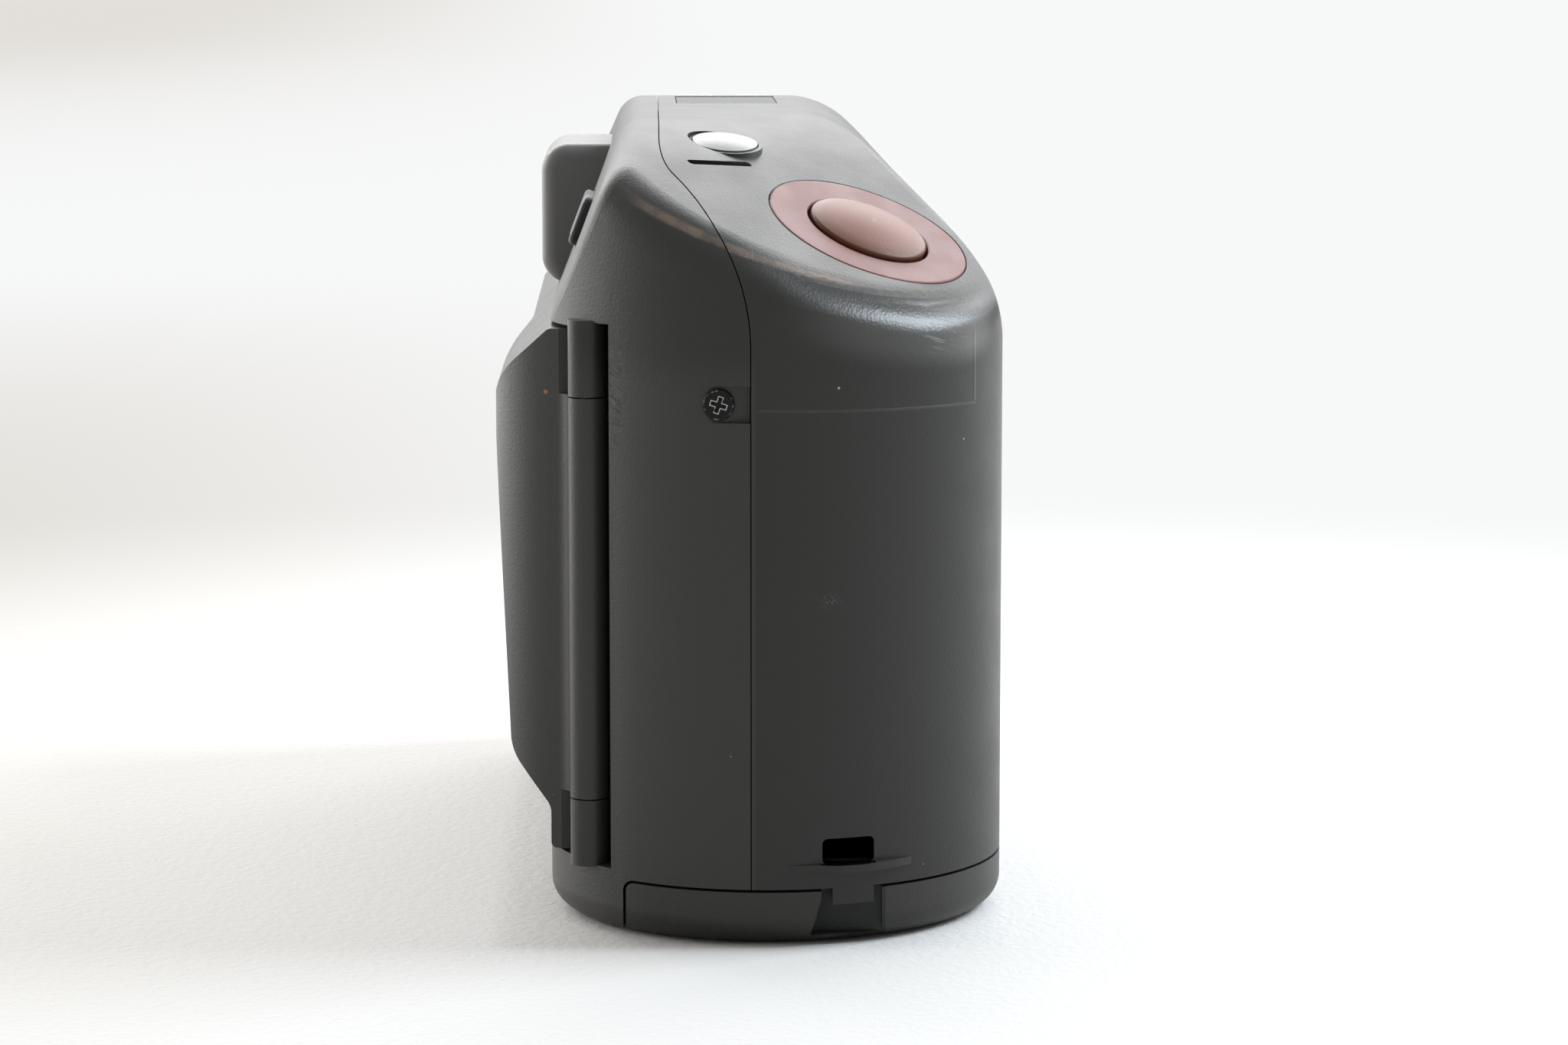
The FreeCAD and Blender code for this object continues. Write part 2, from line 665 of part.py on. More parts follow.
def chassis():
    """Film body: frame gate, light tunnel, the two film chambers and their bearings."""
    plate = box(FRAME_EDGE_X, GATE_Y, FRAME_EDGE_Z)
    rim_x, rim_z = FRAME_EDGE_X, FRAME_EDGE_Z
    rim = cut(box(rim_x, (GATE_Y[1] - 0.1, DOOR_RIM_Y - 0.5), rim_z),
              box((rim_x[0] - 1, rim_x[1] - 2.2), (GATE_Y[0], DOOR_RIM_Y),
                  (rim_z[0] + 2.2, rim_z[1] - 2.2)))
    low, high = CHAMBER_LOW_Z - CHASSIS_WALL, CHAMBER_HIGH_Z + CHASSIS_WALL
    rear_half = box((-BEYOND, BEYOND), (-BEYOND, GATE_Y[1] - 0.1), (0, BEYOND))
    spool_skin = along_z(SPOOL_CHAMBER_R + CHAMBER_SKIN, SPOOL_X, SPOOL_Y, low, high)
    cartridge_skin = along_z(CARTRIDGE_CHAMBER_R + CHAMBER_SKIN, CARTRIDGE_X, CARTRIDGE_Y, low, high)
    tunnel = light_tunnel(TUNNEL_WALL, LENS_BACK_Y, GATE_Y[0] + 0.5)
    collar = along_y(FIXED_RING_OUT, LENS_X, LENS_Z, LENS_BACK_Y, LENS_BACK_Y + CHASSIS_WALL)
    feet = [along_z(2.4, x, y, WALL, CHAMBER_LOW_Z) for x, y in FOOT_SCREWS]
    socket_pad = box((SOCKET_X - 7, SOCKET_X + 7), (SOCKET_Y - 5.5, GATE_Y[0] + 0.5),
                     (SOCKET_DEPTH + 1.2, SOCKET_DEPTH + 2.8))
    lugs = [box((SPROCKET_X - 2.6, SPROCKET_X + 2.6), (SPROCKET_Y - 2.6, GATE_Y[0] + 0.5), z)
            for z in SPROCKET_LUG_Z]
    body = join(plate, rim, only(spool_skin, rear_half), only(cartridge_skin, rear_half), tunnel,
                collar, socket_pad, *(feet + lugs))
    chamber_z = (CHAMBER_LOW_Z, CHAMBER_HIGH_Z)
    spool_room = along_z(SPOOL_CHAMBER_R, SPOOL_X, SPOOL_Y, *chamber_z)
    cartridge_room = along_z(CARTRIDGE_CHAMBER_R, CARTRIDGE_X, CARTRIDGE_Y, *chamber_z)
    way_out = [box((SPOOL_X - SPOOL_CHAMBER_R, SPOOL_X + SPOOL_CHAMBER_R), (SPOOL_Y, BEYOND), chamber_z),
               box((CARTRIDGE_X - CARTRIDGE_CHAMBER_R, CARTRIDGE_X + CARTRIDGE_CHAMBER_R),
                   (CARTRIDGE_Y, BEYOND), chamber_z)]
    light_path = light_tunnel(0.0, LENS_BACK_Y - 1, GATE_Y[1] + 1)
    collar_hole = along_y(INNER_BARREL_R, LENS_X, LENS_Z, LENS_BACK_Y - 1, LENS_BACK_Y + CHASSIS_WALL)
    sprocket_room = along_z(SPROCKET_TIP_R + 0.3, SPROCKET_X, SPROCKET_Y, SPROCKET_LUG_Z[0][1],
                            SPROCKET_LUG_Z[1][0])
    sprocket_bore = along_z(SPROCKET_SHAFT_R + PIN_FIT, SPROCKET_X, SPROCKET_Y, 0, DOOR_HIGH_Z)
    spool_bore = along_z(SPOOL_JOURNAL_R + PIN_FIT, SPOOL_X, SPOOL_Y, CHAMBER_HIGH_Z, DOOR_HIGH_Z)
    fork_bore = along_z(FORK_R + PIN_FIT, CARTRIDGE_X, CARTRIDGE_Y, CHAMBER_HIGH_Z, high)
    screw_bores = [along_z(SCREW_R + PIN_FIT, x, y, WALL - 1, SCREW_LONG + 1.5) for x, y in FOOT_SCREWS]
    body = cut(body, spool_room, cartridge_room, *way_out)
    body = cut(body, light_path, collar_hole, sprocket_room, sprocket_bore, spool_bore, fork_bore)
    body = cut(body, *screw_bores)
    idler_pin = along_z(IDLER_PIN_R, IDLER_X, IDLER_Y, high - 0.5, MOTOR_GEAR_Z[1] + 0.4)
    rails = []
    for height, lift in ((FRAME_HEIGHT / 2 + 0.8, 0.3), (FILM_WIDTH / 2 + 0.8, 0.5)):
        for side in (-1, 1):
            middle = LENS_Z + side * height
            rails.append(box((LENS_X - 24.0, LENS_X + 22.0), (GATE_Y[1] - 0.2, GATE_Y[1] + lift),
                             (middle - 0.5, middle + 0.5)))
    return join(body, idler_pin, *[cut(rail, sprocket_room) for rail in rails])


SPROCKET_SHAFT_R = 1.2
SPROCKET_LUG_Z = ((CHAMBER_LOW_Z + 3.0, CHAMBER_LOW_Z + 4.7), (CHAMBER_HIGH_Z - 2.7, CHAMBER_HIGH_Z - 1.0))
SPOOL_JOURNAL_R = 2.0


def take_up_spool():
    """Slotted film spool that turns round its motor, with a gear on its upper journal."""
    low, high = CHAMBER_LOW_Z + 0.3, CHAMBER_HIGH_Z - 0.3
    core = along_z(SPOOL_R, SPOOL_X, SPOOL_Y, low, high)
    flanges = [along_z(SPOOL_R + 1.5, SPOOL_X, SPOOL_Y, low, low + 1.2),
               along_z(SPOOL_R + 1.5, SPOOL_X, SPOOL_Y, high - 1.2, high)]
    journal = along_z(SPOOL_JOURNAL_R, SPOOL_X, SPOOL_Y, high - 0.5, SPOOL_GEAR_Z[1])
    toothed = moved(gear(SPOOL_TEETH, TRAIN_MODULE, SPOOL_GEAR_Z[0], SPOOL_GEAR_Z[1], 0,
                         math.radians(IDLER_TURN)), V(SPOOL_X, SPOOL_Y, 0))
    body = join(core, journal, toothed, *flanges)
    slots = []
    for turn in (0.0, 120.0, 240.0):
        slot = box((SPOOL_R - 1.4, SPOOL_R + 1), (-0.6, 0.6), (LENS_Z - 15, LENS_Z + 15))
        slot.rotate(V(0, 0, 0), V(0, 0, 1), turn)
        slots.append(moved(slot, V(SPOOL_X, SPOOL_Y, 0)))
    motor_room = along_z(SPOOL_BORE_R, SPOOL_X, SPOOL_Y, low - 1, high - 8.0)
    shaft_room = along_z(0.75 + PIN_FIT, SPOOL_X, SPOOL_Y, low, SPOOL_GEAR_Z[1] + 1)
    return cut(body, motor_room, shaft_room, *slots)


def film_motor():
    top = CHAMBER_HIGH_Z - 9.5
    body = along_z(MOTOR_R, SPOOL_X, SPOOL_Y, CHAMBER_LOW_Z, top)
    return cut(body, along_z(0.75 + PIN_FIT, SPOOL_X, SPOOL_Y, top - 3.0, top))


def motor_pinion():
    top = CHAMBER_HIGH_Z - 9.5
    own = 360.0 / MOTOR_TEETH
    toothed = gear(MOTOR_TEETH, TRAIN_MODULE, MOTOR_GEAR_Z[0], MOTOR_GEAR_Z[1], 0,
                   math.radians(IDLER_TURN + own / 2))
    shaft = rod(0.75, V(0, 0, top - 2.8), V(0, 0, MOTOR_GEAR_Z[1] + 0.5))
    return moved(join(toothed, shaft), V(SPOOL_X, SPOOL_Y, 0))


def idler_gear():
    """Double gear between the motor and the spool, in mesh with both at rest."""
    toward = IDLER_TURN + 180.0
    small_step = 360.0 / IDLER_SMALL_TEETH
    bore = IDLER_PIN_R + PIN_FIT
    small = gear(IDLER_SMALL_TEETH, TRAIN_MODULE, SPOOL_GEAR_Z[0], SPOOL_GEAR_Z[1] + 0.6, 0,
                 math.radians(toward + small_step / 2))
    big = gear(IDLER_BIG_TEETH, TRAIN_MODULE, MOTOR_GEAR_Z[0], MOTOR_GEAR_Z[1], 0,
               math.radians(toward))
    body = cut(join(small, big), rod(bore, V(0, 0, 0), V(0, 0, BEYOND)))
    return moved(body, V(IDLER_X, IDLER_Y, 0))


def sprocket():
    """Film sprocket with two rims of eight teeth on one shaft."""
    shaft = along_z(SPROCKET_SHAFT_R, SPROCKET_X, SPROCKET_Y, SPROCKET_LUG_Z[0][0],
                    SPROCKET_LUG_Z[1][1])
    body = along_z(SPROCKET_R - 0.8, SPROCKET_X, SPROCKET_Y, SPROCKET_LUG_Z[0][1] + 0.2,
                   SPROCKET_LUG_Z[1][0] - 0.2)
    pieces = [shaft, body]
    for side in (-1, 1):
        z = LENS_Z + side * PERFORATION_Z
        pieces.append(along_z(SPROCKET_R, SPROCKET_X, SPROCKET_Y, z - 1.6, z + 1.6))
        for tooth in range(8):
            peg = Part.makeCone(0.75, 0.35, SPROCKET_TIP_R - SPROCKET_R + 0.4,
                                V(SPROCKET_R - 0.4, 0, 0), V(1, 0, 0))
            peg.rotate(V(0, 0, 0), V(0, 0, 1), 45.0 * tooth)
            pieces.append(moved(peg, V(SPROCKET_X, SPROCKET_Y, z)))
    return join(*pieces)


def rewind_fork():
    """Two pronged fork that holds the cartridge, with its gear above the chamber."""
    top = CHAMBER_HIGH_Z + CHASSIS_WALL
    shaft = along_z(FORK_R, CARTRIDGE_X, CARTRIDGE_Y, CHAMBER_HIGH_Z - 1.0, top + 3.4)
    prongs = [box((CARTRIDGE_X + x, CARTRIDGE_X + x + 1.2), (CARTRIDGE_Y - 0.8, CARTRIDGE_Y + 0.8),
                  (CHAMBER_HIGH_Z - 4.5, CHAMBER_HIGH_Z - 0.8)) for x in (-2.4, 1.2)]
    toothed = gear(24, TRAIN_MODULE, top + 0.4, top + 2.4, 0)
    return join(shaft, moved(toothed, V(CARTRIDGE_X, CARTRIDGE_Y, 0)), *prongs)


# Back door

def door_solid(inset):
    """Full form of the door before it is hollowed, or the same drawn in by inset."""
    plan = slab([(HINGE_X, HINGE_Y - 12), (HINGE_X, HINGE_Y + KNUCKLE_R),
                 (HINGE_X + 3.4, HINGE_Y + KNUCKLE_R, 2.5), (HINGE_X + 8.0, DOOR_BULGE_Y, 11.0),
                 (HINGE_X + 31.6, DOOR_BULGE_Y, 20.0), (HINGE_X + 45.6, DOOR_BACK_Y, 20.0),
                 (DOOR_FAR_X - 2.5, DOOR_BACK_Y, 2.0), (DOOR_FAR_X, REAR_Y - 0.3, 1.0),
                 (DOOR_FAR_X, HINGE_Y - 12)], in_plan, -BEYOND, BEYOND, inset)
    section = slab([(HINGE_Y - 14, DOOR_LOW_Z), (REAR_Y - 0.1, DOOR_LOW_Z, 0.6),
                    (REAR_Y - 0.1, DOOR_LOW_Z + 4.6, 2.0), (DOOR_BULGE_Y - 1.6, DOOR_LOW_Z + 10.2, 5.0),
                    (DOOR_BULGE_Y + 0.3, DOOR_HIGH_Z - 6.2, 8.0),
                    (REAR_Y - 0.1, DOOR_HIGH_Z - 0.2, 1.0), (HINGE_Y - 14, DOOR_HIGH_Z)],
                   in_section, -BEYOND, BEYOND, inset)
    return only(plan, section)


def film_door():
    """Back door: hollow moulding with the hinge barrel, pressure plate posts and tongue."""
    behind_rim = box((-BEYOND, BEYOND), (DOOR_RIM_Y, BEYOND), (0, BEYOND))
    skin = only(cut(door_solid(0.0), door_solid(DOOR_WALL)), behind_rim)
    notch_x = (HINGE_X - 10, POCKET_X + 1.6)
    notches = [box(notch_x, (0, BEYOND), (0, BARREL_LOW_Z)),
               box(notch_x, (0, BEYOND), (BARREL_HIGH_Z, BEYOND))]
    beyond = box((HINGE_X - 20, HINGE_X), (0, BEYOND), (0, BEYOND))
    barrel = along_z(KNUCKLE_R, HINGE_X, HINGE_Y, BARREL_LOW_Z, BARREL_HIGH_Z)
    web = box((HINGE_X, HINGE_X + 7.0), (HINGE_Y + 1.0, HINGE_Y + KNUCKLE_R),
              (BARREL_LOW_Z, BARREL_HIGH_Z))
    posts = [along_y(1.2, x, z, PLATE_BACK_Y + 0.3, DOOR_BACK_Y - DOOR_WALL / 2)
             for x, z in PLATE_POSTS]
    tongue = join(box((DOOR_FAR_X - 1.5, DOOR_FAR_X + 1.4), (DOOR_RIM_Y, DOOR_RIM_Y + 1.4), TONGUE_Z),
                  box((DOOR_FAR_X, DOOR_FAR_X + 1.4), (TOE_Y[0], DOOR_RIM_Y + 1.0), TONGUE_Z),
                  box((DOOR_FAR_X, TONGUE_X), TOE_Y, TONGUE_Z))
    body = join(cut(skin, beyond, *notches), barrel, web, tongue, *posts)
    window = box(WINDOW_X, (DOOR_RIM_Y, BEYOND), WINDOW_Z)
    pin_room = along_z(HINGE_PIN_R + PIN_FIT, HINGE_X, HINGE_Y, 0, BEYOND)
    return cut(body, window, pin_room)


PLATE_X = (LENS_X - 23.0, LENS_X + 22.5)
PLATE_Z = (LENS_Z - 18.8, LENS_Z + 18.8)
PLATE_BACK_Y = FILM_Y + 1.4
PLATE_POSTS = [(x, z) for x in (LENS_X - 17.0, LENS_X + 18.0) for z in (LENS_Z - 15.0, LENS_Z + 15.0)]
PLATE_TRAVEL = 0.25
TONGUE_X = DOOR_FAR_X + 2.7
TOE_Y = (16.6, 17.8)
TONGUE_Z = (LENS_Z - 5.0, LENS_Z - 1.0)
WINDOW_X = (CARTRIDGE_X - 2.6, CARTRIDGE_X + 2.6)
WINDOW_Z = (LENS_Z - 14.0, LENS_Z + 14.0)


def film_window():
    x = (WINDOW_X[0] + 0.05, WINDOW_X[1] - 0.05)
    z = (WINDOW_Z[0] + 0.05, WINDOW_Z[1] - 0.05)
    return box(x, (DOOR_BACK_Y - DOOR_WALL, DOOR_BACK_Y + 0.15), z)


def pressure_plate():
    """Flat blackened plate with a shallow groove field that keeps the film flat."""
    plate = slab([(PLATE_X[0], PLATE_Z[0], 2), (PLATE_X[1], PLATE_Z[0], 2),
                  (PLATE_X[1], PLATE_Z[1], 2), (PLATE_X[0], PLATE_Z[1], 2)],
                 in_elevation, FILM_Y + 0.4, PLATE_BACK_Y)
    return plate


def plate_spring():
    """Bowed leaf spring between the door and the pressure plate."""
    door_y = DOOR_BACK_Y - DOOR_WALL
    reach = 15.0
    rise = door_y - 0.3 - (PLATE_BACK_Y + PLATE_TRAVEL + 0.15)
    ends = [V(LENS_X - reach, door_y - 0.3 - rise, 0), V(LENS_X + reach, door_y - 0.3 - rise, 0)]
    middle = V(LENS_X, door_y - 0.3, 0)
    outer = [V(p.x, p.y + 0.3, 0) for p in (ends[0], middle, ends[1])]
    edges = [Part.Arc(ends[0], middle, ends[1]).toShape(), Part.LineSegment(ends[1], outer[2]).toShape(),
             Part.Arc(outer[2], outer[1], outer[0]).toShape(), Part.LineSegment(outer[0], ends[0]).toShape()]
    leaf = Part.Face(Part.Wire(edges))
    leaf.translate(V(0, 0, LENS_Z - 5.0))
    return leaf.extrude(V(0, 0, 10.0))


def door_hinge_pin():
    return along_z(HINGE_PIN_R, HINGE_X, HINGE_Y, POCKET_LOW_Z + 0.1, POCKET_HIGH_Z - 0.6)


LATCH_X = FAR_END_X - WALL
LATCH_Z = (LENS_Z - 9.0, LENS_Z + 7.0)
LATCH_TRAVEL = 4.0
HOOK_Z = (TONGUE_Z[1] + 0.4, TONGUE_Z[1] + 4.4)
LATCH_KNOB_Y = (4.5, 10.5)


def door_latch():
    """Sliding catch inside the far end with its ridged knob in the end face."""
    bar = box((LATCH_X - 2.0, LATCH_X), (2.0, 16.0), LATCH_Z)
    arm = box((TONGUE_X - 0.9, LATCH_X), (TOE_Y[1] + 0.2, TOE_Y[1] + 1.3), HOOK_Z)
    link = box((LATCH_X - 2.0, LATCH_X), (15.0, TOE_Y[1] + 1.3), HOOK_Z)
    inner = only(join(bar, arm, link), envelope(WALL + 0.15))
    knob = box((LATCH_X - 0.4, FAR_END_X - 0.3), LATCH_KNOB_Y, (LATCH_Z[0] + 3, LATCH_Z[1] - 3))
    for ridge in range(4):
        z = LATCH_Z[0] + 4.2 + ridge * 2.2
        knob = knob.cut(box((FAR_END_X - 0.8, FAR_END_X), LATCH_KNOB_Y, (z, z + 0.9)))
    return join(inner, knob)


# Covers

def screw_head(radius, height):
    """Pan head on minus Z side of the origin with a cross recess, shank along plus Z."""
    head = rod(radius, V(0, 0, -height), V(0, 0, 0))
    head = head.makeFillet(height * 0.5, [e for e in head.Edges if e.BoundBox.ZMax < -height + 0.01])
    reach, half = radius * 0.50, radius * 0.13
    for wide, deep in ((reach, half), (half, reach)):
        head = head.cut(box((-wide, wide), (-deep, deep), (-height, -height * 0.35)))
    return head


REAR_NOSE_R = REAR_Y - NOSE_Y
END_SCREW_X = (GRIP_END_X + REAR_NOSE_R - math.sqrt(REAR_NOSE_R ** 2 - (END_SCREW_Y - NOSE_Y) ** 2)
               + 0.3)
END_SCREW_TURN = 18.0
SCREW_RECESS_R = 1.95
SCREW_LONG = 5.5


def case_screws():
    """Cross head screws: one in the side of the rear cover, three underneath."""
    screw = join(screw_head(SCREW_HEAD_R, 0.75), rod(SCREW_R, V(0, 0, -0.1), V(0, 0, SCREW_LONG)))
    side = screw.copy()
    side.rotate(V(0, 0, 0), V(0, 0, 1), END_SCREW_TURN)
    side.rotate(V(0, 0, 0), V(0, 1, 0), 90)
    screws = [moved(side, V(END_SCREW_X, END_SCREW_Y, END_SCREW_Z))]
    screws += [moved(screw, V(x, y, 1.0)) for x, y in FOOT_SCREWS]
    return Part.makeCompound(screws)


def foot_holes():
    tools = []
    for x, y in FOOT_SCREWS:
        tools.append(along_z(SCREW_HEAD_R + 0.25, x, y, -1, 1.0))
        tools.append(along_z(SCREW_R + PIN_FIT, x, y, -1, WALL + 1))
    return tools


def release_tools():
    """Cuts for the release ring and button, drawn about Z at the ring's plane."""
    return join(rod(RELEASE_RING_R + RING_GAP, V(0, 0, -RING_THICK), V(0, 0, 6)),
                rod(RELEASE_BUTTON_R + 0.3, V(0, 0, -12), V(0, 0, 6)))


def strap_slot_tools():
    outer_x = on_nose(0, NOSE_Y - GRIP_Y)[0]
    corners = [(SLOT_LOW_Y, SLOT_LOW_Z, 0.6), (SLOT_HIGH_Y, SLOT_LOW_Z, 0.6),
               (SLOT_HIGH_Y, SLOT_HIGH_Z, 0.6), (SLOT_LOW_Y, SLOT_HIGH_Z, 0.6)]
    slot = slab(corners, in_section, outer_x - 5, STRAP_BACK_X)
    channel = box((STRAP_BAR_X, STRAP_BACK_X), (SLOT_LOW_Y, SLOT_HIGH_Y), (0, SLOT_HIGH_Z))
    return slot, channel


STRAP_BAR_X = GRIP_END_X + 2.6
STRAP_BACK_X = GRIP_END_X + 5.3
FIN_LOW_Z = 7.9
FIN_THICK = 0.85
FIN_SWEEP_R = 13.9
FIN_ANGLE = 18.6
FIN_PROUD = 1.05


def strap_fin():
    """Crescent ledge moulded under the strap slot."""
    x, y = on_nose(FIN_ANGLE, NOSE_Y - GRIP_Y + FIN_PROUD - FIN_SWEEP_R)
    disc = along_z(FIN_SWEEP_R, x, y, FIN_LOW_Z, FIN_LOW_Z + FIN_THICK)
    fin = only(disc, box((GRIP_END_X, GRIP_END_X + 7.0), (-BEYOND, BEYOND), (0, BEYOND)))
    return cut(fin, envelope(WALL / 2))


def front_cover():
    """Front cover with the lens opening, windows, release seat, strap slot and top holes."""
    body = only(shell(), front_region(-PARTING_GAP / 2))
    body = cut(body, battery_region(0.0))
    body = cut(body, hinge_room(BATTERY_HINGE_R + BATTERY_DOOR_GAP))
    openings = front_openings(FIT)
    body = cut(body, along_y(LENS_HOLE_R, LENS_X, LENS_Z, FRONT_Y - 20, 0), openings["finder"],
               openings["lamp"], openings["flash"], *openings["focus"])
    ledges = []
    for wide, tall, x in ((FINDER_WIDE, FINDER_TALL, FINDER_X),
                          (FLASH_X[1] - FLASH_X[0], FLASH_TALL, sum(FLASH_X) / 2)):
        ledges.append(box((x - wide / 2 + 0.8, x + wide / 2 - 0.8), (FRONT_Y, FRONT_Y + WALL + 1),
                          (FINDER_Z - tall / 2 + 0.8, FINDER_Z + tall / 2 - 0.8)))
    holes = [along_y(FOCUS_R - 0.6, x, FINDER_Z, FRONT_Y, FRONT_Y + 4) for x in FOCUS_X]
    holes.append(along_y(LAMP_R * 0.7 + FIT, LAMP_X, FINDER_Z, FRONT_Y, FRONT_Y + 4))
    body = cut(body, *(ledges + holes))
    seat = rod(RELEASE_RING_R + 1.4, V(0, 0, -RING_THICK - 1.3), V(0, 0, -0.6))
    collar = tube(RELEASE_BUTTON_R + 2.2, RELEASE_BUTTON_R + 0.9, V(0, 0, -5.2), V(0, 0, -1.5))
    seat = only(on_top(join(seat, collar), RELEASE_X, RELEASE_Y), envelope(WALL / 2),
                front_region(-PARTING_GAP / 2))
    body = cut(join(body, seat), on_top(release_tools(), RELEASE_X, RELEASE_Y))
    rim_z = (-2.3, POWER_RIM_RISE)
    body = cut(body, on_rim(rod(POWER_RIM_R, V(0, 0, rim_z[1]), V(0, 0, 6))))
    body = join(body, on_rim(rod(POWER_RIM_R, V(0, 0, rim_z[0]), V(0, 0, rim_z[1]))))
    body = cut(body, on_rim(rod(POWER_R + 1.1, V(0, 0, -6), V(0, 0, rim_z[0]))))
    power_hole = on_rim(rod(POWER_R + 0.15, V(0, 0, -6), V(0, 0, 6)))
    mark = slab([(-0.55, -4.3, 0.5), (0.55, -4.3, 0.5), (0.55, 4.3, 0.5), (-0.55, 4.3, 0.5)],
                in_plan, -0.7, 3)
    mark.rotate(V(0, 0, 0), V(0, 0, 1), 36)
    mark = on_top(mark, POWER_X - 7.2, POWER_Y + 0.7)
    display = box(*[(low - FIT, high + FIT) for low, high in DISPLAY], (HEIGHT - 1.6, HEIGHT + 1))
    below = box(*[(low + 1.0, high - 1.0) for low, high in DISPLAY], (HEIGHT - 6, HEIGHT + 1))
    tops = [along_z(TOP_BUTTON_R + 0.12, TOP_BUTTON_X, y, HEIGHT - 8, HEIGHT + 1) for y in TOP_BUTTON_Y]
    body = cut(body, power_hole, mark, display, below, *tops)
    body = add_strap_bar(body)
    tab_back_x = GRIP_END_X + 5.6
    tab_z = (END_SCREW_Z - 3.4, END_SCREW_Z + 3.4)
    tab = only(box((GRIP_END_X + 2.8, tab_back_x), (-3.0, END_SCREW_Y + 3.2), tab_z), envelope(WALL + 0.05))
    link = only(box((GRIP_END_X + 1.0, tab_back_x), (-6.0, PARTING_Y - PARTING_GAP), tab_z),
                envelope(WALL / 2))
    body = join(body, tab, link)
    shank = along_x(SCREW_R + PIN_FIT, END_SCREW_Y, END_SCREW_Z, GRIP_END_X - 5, GRIP_END_X + 15)
    socket = along_z(SOCKET_R + FIT, SOCKET_X, SOCKET_Y, -1, WALL + 1)
    rewind = along_z(REWIND_BUTTON_R + 0.12, REWIND_BUTTON_X, REWIND_BUTTON_Y, -1, WALL + 1)
    dish = along_z(REWIND_BUTTON_R + 1.2, REWIND_BUTTON_X, REWIND_BUTTON_Y, -1, 0.7)
    return cut(body, shank, socket, rewind, dish, *foot_holes())


def add_strap_bar(body):
    slot, channel = strap_slot_tools()
    liner = box((STRAP_BAR_X - 0.6, STRAP_BACK_X + 0.9), (SLOT_LOW_Y - 0.9, SLOT_HIGH_Y + 0.9),
                (BATTERY_DOOR_TOP, SLOT_HIGH_Z + 0.9))
    liner = only(liner, envelope(WALL / 2))
    tab_y = (SLOT_LOW_Y, SLOT_HIGH_Y - 1.1)
    tab = only(box((GRIP_END_X - 5, STRAP_BAR_X), tab_y, (TAB_LOW_Z, BATTERY_DOOR_TOP + 0.5)),
               rounded_envelope())
    return join(cut(join(body, liner, strap_fin()), slot, channel), tab)


TAB_LOW_Z = 4.3
REWIND_BUTTON_X = 32.0
REWIND_BUTTON_Y = -9.0
REWIND_BUTTON_R = 1.1


def hinge_room(radius):
    """Room right across the bottom for the battery door's hinge and the edge it swings out."""
    barrel = along_y(radius, BATTERY_HINGE_X, BATTERY_HINGE_R, -BEYOND, BATTERY_DOOR_REAR_Y)
    return barrel.fuse(box((BATTERY_HINGE_X, BATTERY_HINGE_X + radius + 0.2), (-BEYOND, BATTERY_DOOR_REAR_Y),
                           (-1, WALL + 0.01)))


